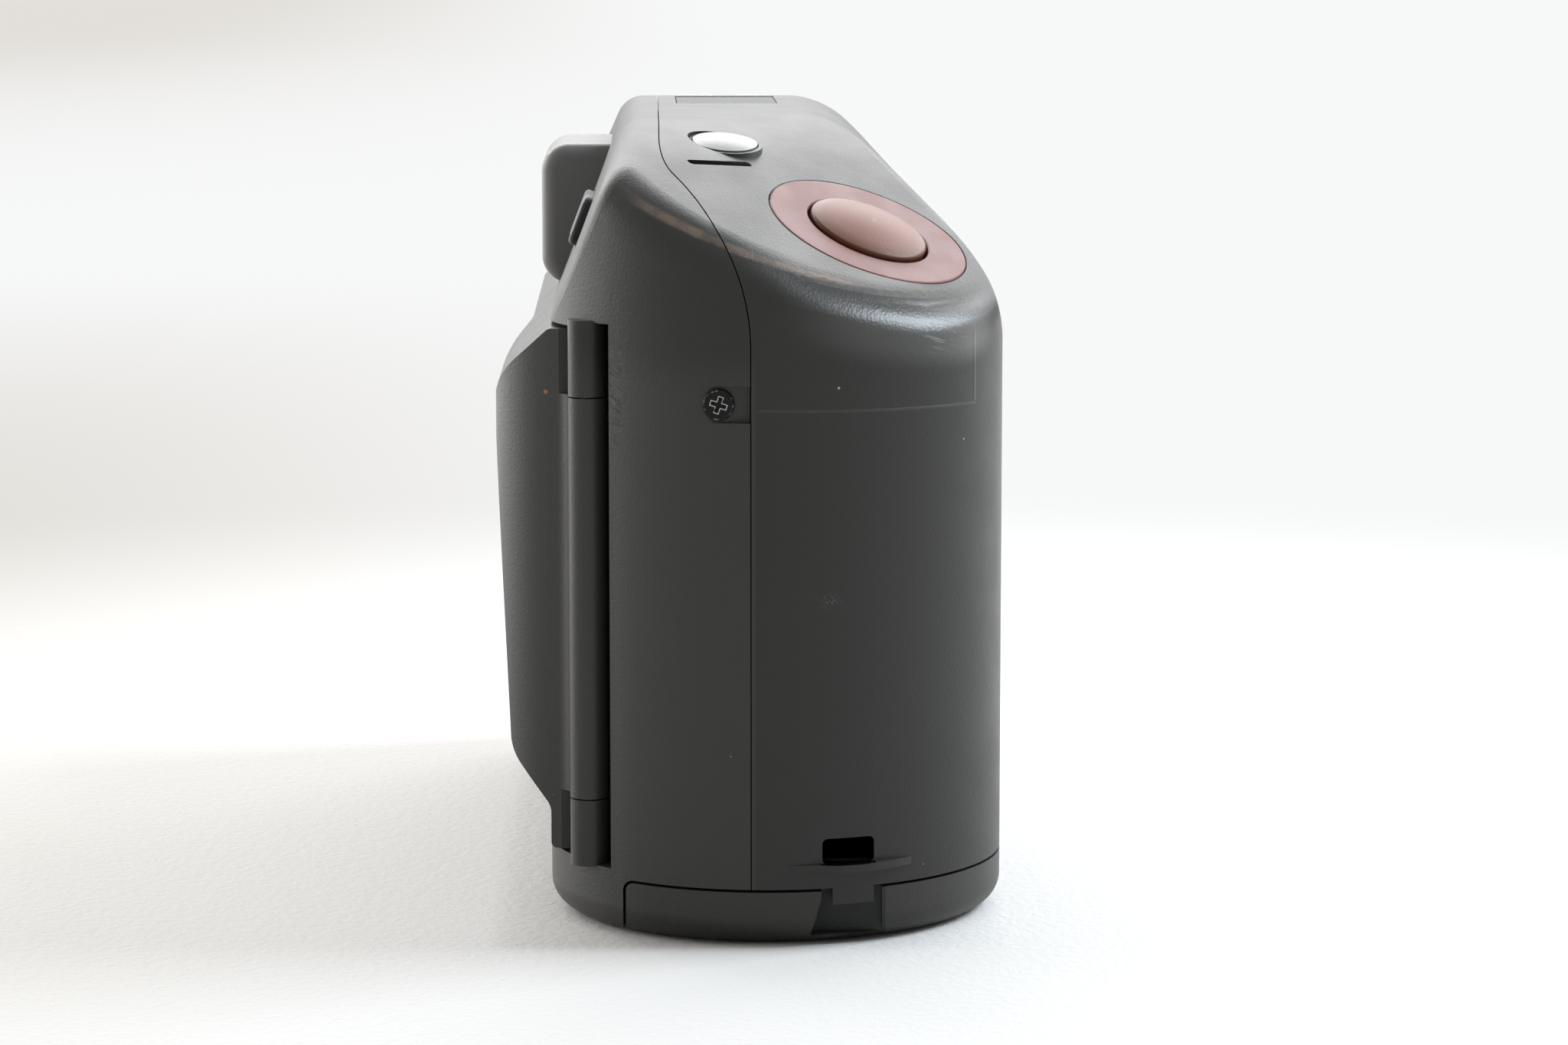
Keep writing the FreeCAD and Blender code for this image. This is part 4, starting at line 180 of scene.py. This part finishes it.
world = bpy.data.worlds.new("studio")
bpy.context.scene.world = world
studio = Wiring(world)
dim = studio.tree.nodes["Background"]
studio.feed(dim.inputs["Color"], (0.95, 0.955, 0.96))
studio.feed(dim.inputs["Strength"], 0.27)
bright = studio.node("ShaderNodeBackground", {}, {"Color": (0.93, 0.94, 0.945), "Strength": 1.0})
straight, mirrored, through = (studio.node("ShaderNodeLightPath", {}, {}, name) for name in
                               ("Is Camera Ray", "Is Glossy Ray", "Is Transmission Ray"))
looked_at = straight.join("MAXIMUM", mirrored).join("MAXIMUM", through)
shown = studio.node("ShaderNodeMixShader", {}, {0: looked_at, 1: Wire(studio, dim.outputs[0]), 2: bright})
studio.feed(studio.tree.nodes["World Output"].inputs["Surface"], shown)


def panel(name, place, aim, width, height, power, colour=(1.0, 1.0, 1.0), mirrored=True):
    light = bpy.data.lights.new(name, "AREA")
    light.shape = "RECTANGLE"
    light.size, light.size_y, light.energy, light.color = width, height, power, colour
    holder = bpy.data.objects.new(name, light)
    holder.location = place
    holder.rotation_euler = (Vector(aim) - Vector(place)).to_track_quat("-Z", "Y").to_euler()
    holder.visible_glossy = mirrored
    bpy.context.collection.objects.link(holder)


panel("far_panel", place=(1.92, 0.04, 1.46), aim=(0.0, 0.0, 0.06), width=3.6, height=1.4, power=82.0)
panel("window_panel", place=(0.10, -0.64, 0.60), aim=(-0.055, -0.01, 0.066), width=0.42, height=0.40,
      power=9.2, colour=(0.82, 0.91, 1.0))
panel("lens_side_panel", place=(0.75, -0.75, 0.24), aim=(0.0, 0.0, 0.04), width=0.5, height=0.35,
      power=4.2, mirrored=False)
panel("back_side_panel", place=(0.42, 0.76, 0.30), aim=(0.0, 0.0, 0.04), width=1.0, height=0.6, power=8.5)


# Film body and drive
# The film body is one matt black moulding with the film gate and both chambers.
# Spool and sprocket are black too; cam ring, idler gear and fork are white acetal.
def grained(finish, pattern, darker, paler, gloss, relief=None, **sockets):
    """Paints a finish whose tone, gloss and relief all follow one pattern."""
    if relief:
        sockets["normal"] = finish.bump(pattern, *relief)
    finish.paint(colour=finish.blend(pattern, darker, paler), roughness=pattern.ramp(0.3, 0.7, *gloss),
                 **sockets)


film_body = Finish("film_body_black")
grained(film_body, film_body.noise(1500.0, 4.0, 0.65), (0.010, 0.010, 0.010), (0.020, 0.020, 0.019),
        gloss=(0.62, 0.78), relief=(0.00008, 0.6))
film_body.put_on("chassis", "take_up_spool", "sprocket")
acetal = Finish("acetal_white")
grained(acetal, acetal.noise(600.0), (0.62, 0.60, 0.53), (0.72, 0.70, 0.63),
        gloss=(0.38, 0.50), relief=(0.00004, 0.3))
acetal.put_on("cam_ring", "idler_gear", "rewind_fork")

# Pins and motors
# Hinge pins cut from drawn steel wire, which keep the fine lines of the die,
# and the drawn steel cans of the two small motors.
steel = Finish("drawn_steel")
drawn = steel.node("ShaderNodeMapping", {}, {"Vector": steel.place, "Scale": (4000.0, 4000.0, 120.0)})
grained(steel, steel.noise(1.0, 2.0, 0.5, drawn), (0.42, 0.42, 0.41), (0.56, 0.56, 0.55),
        gloss=(0.28, 0.42), relief=(0.00002, 0.4), metallic=1.0)
steel.put_on("door_hinge_pin", "battery_hinge_pin", "film_motor", "zoom_motor")

# Springs, contacts and pinions
# Stamped from sprung brass sheet or turned from brass rod, a little dulled; the
# tripod socket is a brass insert that is pressed into the base.
brass = Finish("spring_brass")
grained(brass, brass.noise(700.0, 3.0), (0.50, 0.36, 0.15), (0.66, 0.50, 0.24),
        gloss=(0.25, 0.42), relief=(0.00002, 0.4), metallic=1.0)
brass.put_on("plate_spring", "battery_contacts", "motor_pinion", "zoom_pinion", "tripod_socket")

# Pressure plate, barrier and shutter
# Thin blackened metal: the plate rides on its spring on the door, the two
# blades close over the front lens, and the shutter unit sits behind it.
blackened = Finish("blackened_metal")
grained(blackened, blackened.noise(1800.0, 3.0, 0.6), (0.012, 0.012, 0.012), (0.030, 0.029, 0.028),
        gloss=(0.36, 0.52), relief=(0.00003, 0.5), metallic=0.6)
blackened.put_on("pressure_plate", "barrier_blade_upper", "barrier_blade_lower", "shutter_unit")

# Lens barrels
# Black satin mouldings turned round the lens axis, with fine rings cut in their
# sides and a plain faceplate; one slides inside the other and in the lens ring.
lens_x, lens_z = 0.0035, 0.038
barrel = Finish("turned_black")
x, y, z = (barrel.place.part(axis) for axis in "XYZ")
groove = barrel.node("ShaderNodeMath", {"operation": "SINE"}, {0: y * 9000.0})
beside_faceplate = ((x - lens_x) ** 2.0 + (z - lens_z) ** 2.0).ramp(0.00019, 0.00021)
rings = groove.ramp(0.2, 0.9) * beside_faceplate
satin = barrel.noise(2600.0, 3.0, 0.6)
grained(barrel, satin, (0.016, 0.016, 0.016), (0.026, 0.026, 0.025), gloss=(0.34, 0.46),
        normal=barrel.bump(satin * 0.5 - rings * 1.2, 0.00006, 0.6))
barrel.put_on("lens_ring", "zoom_barrel_outer", "zoom_barrel_inner")

# Lenses
# Ground glass with a violet coating, set in the barrels, the finder tube and
# the eyepiece.
glass = Finish("coated_glass")
bloom = glass.node("ShaderNodeLayerWeight", {}, {"Blend": 0.35}, "Facing")
glass.paint(colour=glass.blend(bloom, (0.020, 0.016, 0.040), (0.075, 0.030, 0.090)), coat=1.0,
            roughness=glass.noise(120.0).ramp(0.3, 0.7, 0.02, 0.06), coat_roughness=0.02)
glass.put_on("front_lens", "rear_lens", "finder_lenses", "eyepiece_lens")

# Flash and lamps
# Ribbed clear acrylic stands before the flash tube and its bright formed
# reflector; the self-timer and ready lamps have moulded red caps.
ribbed = Finish("flash_acrylic")
rib = ribbed.node("ShaderNodeMath", {"operation": "SINE"}, {0: ribbed.place.part("X") * 4189.0})
ribbed.paint(colour=ribbed.blend(rib.ramp(-1.0, 1.0), (0.66, 0.69, 0.70), (0.86, 0.88, 0.88)), alpha=0.55,
             roughness=rib.ramp(-1.0, 1.0, 0.08, 0.20), coat=1.0, coat_roughness=0.05,
             normal=ribbed.bump(rib, 0.0002, 0.5))
ribbed.put_on("flash_window", "flash_tube")
reflector = Finish("reflector_metal")
grained(reflector, reflector.noise(900.0, 3.0), (0.70, 0.71, 0.72), (0.86, 0.87, 0.88),
        gloss=(0.12, 0.24), metallic=1.0)
reflector.put_on("flash_reflector")
red_cap = Finish("red_lamp_cap")
grained(red_cap, red_cap.noise(1200.0), (0.30, 0.012, 0.010), (0.44, 0.030, 0.020),
        gloss=(0.10, 0.20), coat=1.0, coat_roughness=0.04)
red_cap.put_on("timer_lamp", "ready_lamps")

# Cells and flash capacitor
# Drawn steel cans in a shrunk plastic sleeve, black with a gold band above; the
# two cells lie in their holder behind the battery door.
sleeve = Finish("cell_sleeve")
gold_band = sleeve.place.part("Z").ramp(0.0290, 0.0292)
sleeve.paint(colour=sleeve.blend(gold_band, (0.030, 0.030, 0.034), (0.42, 0.36, 0.20)),
             metallic=gold_band * 0.6, roughness=sleeve.noise(800.0).ramp(0.3, 0.7, 0.25, 0.38))
sleeve.put_on("battery_cells", "flash_capacitor")

# Boards and display
# Green boards with tinned tracks; a grey reflective panel lies on the top
# board, under the polished display window.
board = Finish("board_green")
tracks = board.node("ShaderNodeTexBrick", {"offset": 0.5},
                    {"Vector": board.place, "Scale": 160.0, "Mortar Size": 0.02,
                     "Color1": (0.020, 0.110, 0.040), "Color2": (0.030, 0.150, 0.055),
                     "Mortar": (0.20, 0.16, 0.05)}, "Color")
board.paint(colour=tracks, roughness=board.noise(500.0).ramp(0.3, 0.7, 0.28, 0.45))
board.put_on("top_board", "main_board")


def cells(finish, scale):
    return finish.node("ShaderNodeTexVoronoi", {}, {"Vector": finish.place, "Scale": scale}, "Distance")


display = Finish("display_grey")
weave = cells(display, 900.0)
display.paint(colour=display.blend(weave, (0.22, 0.25, 0.19), (0.30, 0.33, 0.26)), roughness=0.35,
              normal=display.bump(weave, 0.00002, 0.2))
display.put_on("display_panel")


# Moulded covers
# Two halves of dark warm-grey plastic with a fine spark-eroded grain, screwed
# together, rubbed smooth along the crest of the grip, scuffed and a little dusty.
cover_black, rear_side_light_tone, dust_grey = (0.0195, 0.0192, 0.0165), (0.0400, 0.0385, 0.0340), (0.42, 0.41, 0.38)


def moulded(name, colour, grain=1.0):
    made = Finish(name)
    tone = made.blend(made.noise(45.0, 3.0), tuple(c * 0.94 for c in colour),
                      tuple(c * 1.05 for c in colour))
    dust = cells(made, 260.0).ramp(0.045, 0.02) * made.noise(90.0, 1.0).ramp(0.52, 0.60)
    made.tone = made.blend(dust * 0.55, tone, dust_grey)
    made.rough = made.noise(160.0, 3.0).ramp(0.3, 0.7, 0.43, 0.47)
    made.height = made.noise(3800.0, 3.0, 0.6) * 0.7 + cells(made, 3000.0) * 0.5
    made.grain = grain
    return made


def finish_moulded(made, *pieces, before=None, **sockets):
    made.paint(colour=made.tone, roughness=made.rough, specular=0.34,
               normal=made.bump(made.height, 0.00006, 0.45 * made.grain, before), **sockets)
    made.put_on(*pieces)


covers = moulded("cover_plastic", cover_black)
x, y, z = (covers.place.part(axis) for axis in "XYZ")
outward = covers.node("ShaderNodeNewGeometry", {}, {}, "Normal")
facing_x, facing_up = outward.part("X"), outward.part("Z")
grip_end = x.ramp(-0.030, -0.042)
# Painted light: the rear half's side below the crest is painted paler, where light from the back falls on it.
rear_side_painted_light = y.ramp(0.0002, 0.0005) * z.ramp(0.0640, 0.0590)
covers.tone = covers.blend(rear_side_painted_light * 0.6, covers.tone, rear_side_light_tone)

# The corner where the sloping top turns down into the grip is softer than the
# edge that was cut for it, so its shading eases from the wall to the slope.
slope_up, slope_height = (-0.3155, -0.3155, 0.8949), 0.086368
below_slope = x * slope_up[0] + y * slope_up[1] + z * slope_up[2] - slope_height
turned_over = below_slope.ramp(-0.0059, 0.0001)
corner = facing_up.ramp(0.96, 0.91) * facing_x.ramp(0.10, -0.10) * below_slope.ramp(-0.0085, -0.0070)
corner = corner * y.ramp(0.0060, -0.0080) * grip_end


def vector(operation, first, second=(0.0, 0.0, 0.0)):
    return covers.node("ShaderNodeVectorMath", {"operation": operation}, {0: first, 1: second})


def lean(start, end, share):
    return vector("ADD", start, vector("MULTIPLY", vector("SUBTRACT", end, start), share))


level = vector("NORMALIZE", vector("MULTIPLY", outward, (1.0, 1.0, 0.0)))
eased = vector("NORMALIZE", lean(outward, lean(level, slope_up, turned_over), corner))

# Hands have worn the crest of the grip and polished the corner below it; the warm
# brown along the crest is partly wear and partly a painted sheen.
worn_brown_and_sheen = (0.260, 0.190, 0.150)
crest = facing_up.ramp(0.58, 0.65) * facing_up.ramp(0.77, 0.71) * z.ramp(0.062, 0.066)
streaky = 0.35 + covers.noise(260.0, 3.0, 0.6).ramp(0.34, 0.62) * 0.65
rubbed_and_sheen = crest * y.ramp(-0.0150, -0.0050) * y.ramp(0.0150, 0.0110) * streaky * grip_end
covers.tone = covers.blend(rubbed_and_sheen * 0.60, covers.tone, worn_brown_and_sheen)
polished = below_slope.ramp(-0.0078, -0.0044) * below_slope.ramp(-0.0008, -0.0020)
polished = polished * y.ramp(-0.001, -0.012) * y.ramp(-0.0262, -0.0225) * grip_end
covers.rough = covers.rough - polished * 0.17 - rubbed_and_sheen * 0.05

# Hair scratches below the release, a scuff on the grip, and nicks with torn
# pale edges along the hinge pocket, with one bright mote of dust.
scratch_grey, torn_grey = (0.30, 0.31, 0.31), (0.120, 0.115, 0.105)
nick_black, mote_brown = (0.004, 0.004, 0.004), (0.62, 0.42, 0.25)


def streaks(lean_back, scale):
    turned = covers.node("ShaderNodeMapping", {}, {"Vector": covers.place, "Rotation": (lean_back, 0.0, 0.0)})
    return covers.node("ShaderNodeMapping", {}, {"Vector": turned, "Scale": scale})


hairs = covers.noise(1.0, 2.0, 0.5, streaks(-0.30, (300.0, 330.0, 5200.0)))
scratch_place = y.near(-0.0200, 0.0004, 0.0036) * z.near(0.0650, 0.0004, 0.0026)
scratch = hairs.ramp(0.54, 0.66) * scratch_place * grip_end
scuff_place = y.near(-0.0075, 0.0002, 0.0018) * z.near(0.0371, 0.0002, 0.0012)
scuff = covers.noise(3200.0, 3.0, 0.7).ramp(0.50, 0.66) * scuff_place * grip_end
covers.tone = covers.blend(scratch * 0.34 + scuff * 0.16, covers.tone, scratch_grey)
slanted = covers.noise(1.0, 3.0, 0.6, streaks(-0.7, (500.0, 600.0, 3200.0)))
nick_place = y.near(0.0153, 0.0006, 0.0014) * z.near(0.0585, 0.0030, 0.0075)
nick = slanted.ramp(0.56, 0.64) * nick_place * grip_end
torn = slanted.ramp(0.44, 0.36) * nick_place * grip_end
covers.tone = covers.blend(nick * 0.8, covers.tone, nick_black)
covers.tone = covers.blend(torn * 0.35, covers.tone, torn_grey)
mote = ((y + 0.0085) ** 2.0 + (z - 0.0598) ** 2.0).ramp(0.00000003, 0.0) * grip_end
covers.tone = covers.blend(mote, covers.tone, mote_brown)

# The mould leaves thin flow lines on the lens side: one nearly level, and one
# upright near the front.
flow_y, flow_z, flow_grey = -0.0236, 0.0573, (0.11, 0.105, 0.095)
flow_level = (z - flow_z + (y + 0.0115) * -0.02).size().ramp(0.00020, 0.00006) * y.ramp(-0.0238, -0.0234)
flow_upright = y.near(flow_y, 0.00006, 0.00018) * z.ramp(0.0660, 0.0640) * z.ramp(0.0570, 0.0576)
flow = (flow_level + flow_upright) * grip_end * y.ramp(0.0004, -0.0004)
covers.tone = covers.blend(flow * 0.22, covers.tone, flow_grey)
covers.height = covers.height + flow * 1.6 - scratch * 0.4 - nick * 1.5

# Painted shade: inside the strap slot the channel is painted black, rough and metallic so that it reflects
# nothing, standing in for the dark of the deep channel.
slot_y, slot_z, slot_painted_shade_black = -0.0096, 0.0101, (0.0010, 0.0010, 0.0010)
behind_wall = facing_x.ramp(-0.80, -0.60).join("MAXIMUM", x.ramp(-0.0622, -0.0618))
slot_painted_shade = behind_wall * y.near(slot_y, 0.0029, 0.0031) * x.ramp(-0.0580, -0.0584)
slot_painted_shade = slot_painted_shade * z.near(slot_z, 0.0016, 0.0018)
covers.tone = covers.blend(slot_painted_shade, covers.tone, slot_painted_shade_black)
covers.rough = covers.rough + slot_painted_shade * 0.45
finish_moulded(covers, "front_cover", "rear_cover", before=eased,
               metallic=slot_painted_shade, coat=polished, coat_roughness=0.16)

# Windows
# Smoked acrylic set flush in the finder, focus and film openings, and a clear
# polished window over the display.
smoked = Finish("smoked_acrylic")
grained(smoked, smoked.noise(80.0), (0.010, 0.010, 0.013), (0.018, 0.018, 0.022),
        gloss=(0.05, 0.10), coat=1.0, coat_roughness=0.03)
smoked.put_on("finder_window", "focus_windows", "film_window")
clear = Finish("display_glass")
grained(clear, clear.noise(60.0), (0.30, 0.33, 0.29), (0.36, 0.39, 0.35),
        gloss=(0.06, 0.12), coat=1.0, coat_roughness=0.03, alpha=0.55)
clear.put_on("display_window")

# Release ring and button
# A pressed ring of rose-tinted metal let into the slope, and a domed button
# of the same tint with a fine sprayed grain, darker towards its rim.
release_centre = (-0.048, -0.0123, 0.07525)
ring = Finish("rose_ring")
ring_spray = ring.bump(ring.noise(3200.0, 2.0, 0.6), 0.00004, 0.45)
grained(ring, ring.noise(240.0, 3.0), (0.172, 0.076, 0.070), (0.200, 0.090, 0.083),
        gloss=(0.42, 0.50), metallic=0.05, specular=0.18, normal=ring_spray)
ring.put_on("release_ring")
button = Finish("rose_button")
from_centre = button.node("ShaderNodeVectorMath", {"operation": "DISTANCE"},
                          {0: button.place, 1: release_centre}, "Value")
dome_rose, rim_rose = (0.195, 0.086, 0.064), (0.105, 0.034, 0.016)
rim = from_centre.ramp(0.0045, 0.0066)
button.paint(colour=button.blend(rim, dome_rose, rim_rose), metallic=0.05,
             specular=0.21, roughness=rim.ramp(0.0, 1.0, 0.48, 0.38),
             normal=button.bump(button.noise(3000.0, 2.0, 0.6), 0.00004, 0.5))
button.put_on("release_button")

# Power and top buttons
# Moulded caps sprayed a pale silver with a soft sheen, each standing in its
# own hole over a key switch of the top board.
silver = Finish("silver_spray")
grained(silver, silver.noise(3600.0, 2.0, 0.7), (0.165, 0.165, 0.16), (0.23, 0.23, 0.22),
        gloss=(0.30, 0.42), relief=(0.00003, 0.4), metallic=0.06)
silver.put_on("power_button", "flash_mode_button", "self_timer_button", "key_switches")

# Eyepiece housing
# A soft matt moulding round the finder eyepiece, painted much paler than the body
# as painted light on its shaded face; the finder tube before it is the same.
eyepiece_painted_light = moulded("eyepiece_plastic", (0.165, 0.163, 0.156), 0.8)
finish_moulded(eyepiece_painted_light, "eyepiece_block", "finder_tube")

# Back door
# One bulged moulding in the same dark plastic as the covers, painted paler than
# them as painted light from the back, and hung on a pin through its hinge barrel;
# a small brown spot is painted on it near the hinge.
door_skin = moulded("door_plastic", (0.036, 0.0352, 0.0325))
x, y, z = (door_skin.place.part(axis) for axis in "XYZ")
brown_spot = ((y - 0.0227) ** 2.0 + (z - 0.0579) ** 2.0).ramp(0.00000010, 0.0) * x.ramp(-0.040, -0.045)
door_skin.tone = door_skin.blend(brown_spot * 0.7, door_skin.tone, (0.45, 0.20, 0.06))
finish_moulded(door_skin, "film_door")

# Battery door
# The same plastic as the covers, moulded separately, so that its tone is a
# touch browner; dust sits in the joint, and the strap notch is painted near black as painted shade.
battery_skin = moulded("battery_door_plastic", (0.0290, 0.0280, 0.0240))
x, y, z = (battery_skin.place.part(axis) for axis in "XYZ")
dusty = z.ramp(0.0062, 0.0040) * battery_skin.noise(500.0, 4.0, 0.7).ramp(0.60, 0.74)
battery_skin.tone = battery_skin.blend(dusty * 0.10, battery_skin.tone, (0.16, 0.15, 0.12))
notch_painted_shade = x.ramp(-0.0632, -0.0624) * y.near(-0.0100, 0.0036, 0.0038) * x.ramp(-0.0590, -0.0596)
battery_skin.tone = battery_skin.blend(notch_painted_shade, battery_skin.tone, (0.008, 0.008, 0.0075))
finish_moulded(battery_skin, "battery_door")

# Small black mouldings
# Latches, hinge, holder, rocker and guide, moulded in black with a shallower
# grain than the covers, and clipped or pinned in place.
small_black = moulded("small_black_mouldings", (0.014, 0.014, 0.014), 0.6)
finish_moulded(small_black, "battery_latch", "battery_hinge", "battery_holder", "door_latch",
               "rewind_button", "zoom_rocker", "release_guide")

# Case screws
# Black-oxide cross head screws; on the one in the side the driver has worn the
# edges of the cross and of the head down to bright steel.
screw_y, screw_z, cross_turn = 0.0042, 0.0581, math.radians(18.0)
arm_length, arm_width, head_edge = 0.00085, 0.00022, 0.00152
screw = Finish("black_oxide_screw")
x, y, z = (screw.place.part(axis) for axis in "XYZ")
across, up = y - screw_y, z - screw_z
u = (across * math.cos(cross_turn) + up * math.sin(cross_turn)).size()
v = (up * math.cos(cross_turn) - across * math.sin(cross_turn)).size()
arm_a = (u - arm_length).join("MAXIMUM", v - arm_width)
arm_b = (v - arm_length).join("MAXIMUM", u - arm_width)
cross_edge = arm_a.join("MINIMUM", arm_b).near(0.00004, 0.00003, 0.00008)
rim_edge = ((u * u + v * v) ** 0.5).near(head_edge, 0.00003, 0.00010)
bare = screw.noise(2200.0, 3.0, 0.6)
worn = cross_edge * bare.ramp(0.34, 0.50) + rim_edge * bare.ramp(0.52, 0.62) * 0.5
worn = worn * x.ramp(-0.0600, -0.0620)
oxide_black, bare_steel = (0.004, 0.004, 0.004), (0.36, 0.35, 0.33)
screw.paint(colour=screw.blend(worn, oxide_black, bare_steel), specular=0.18,
            metallic=worn * 0.9, roughness=bare.ramp(0.3, 0.7, 0.34, 0.48),
            normal=screw.bump(bare, 0.00003, 0.5))
screw.put_on("case_screws")
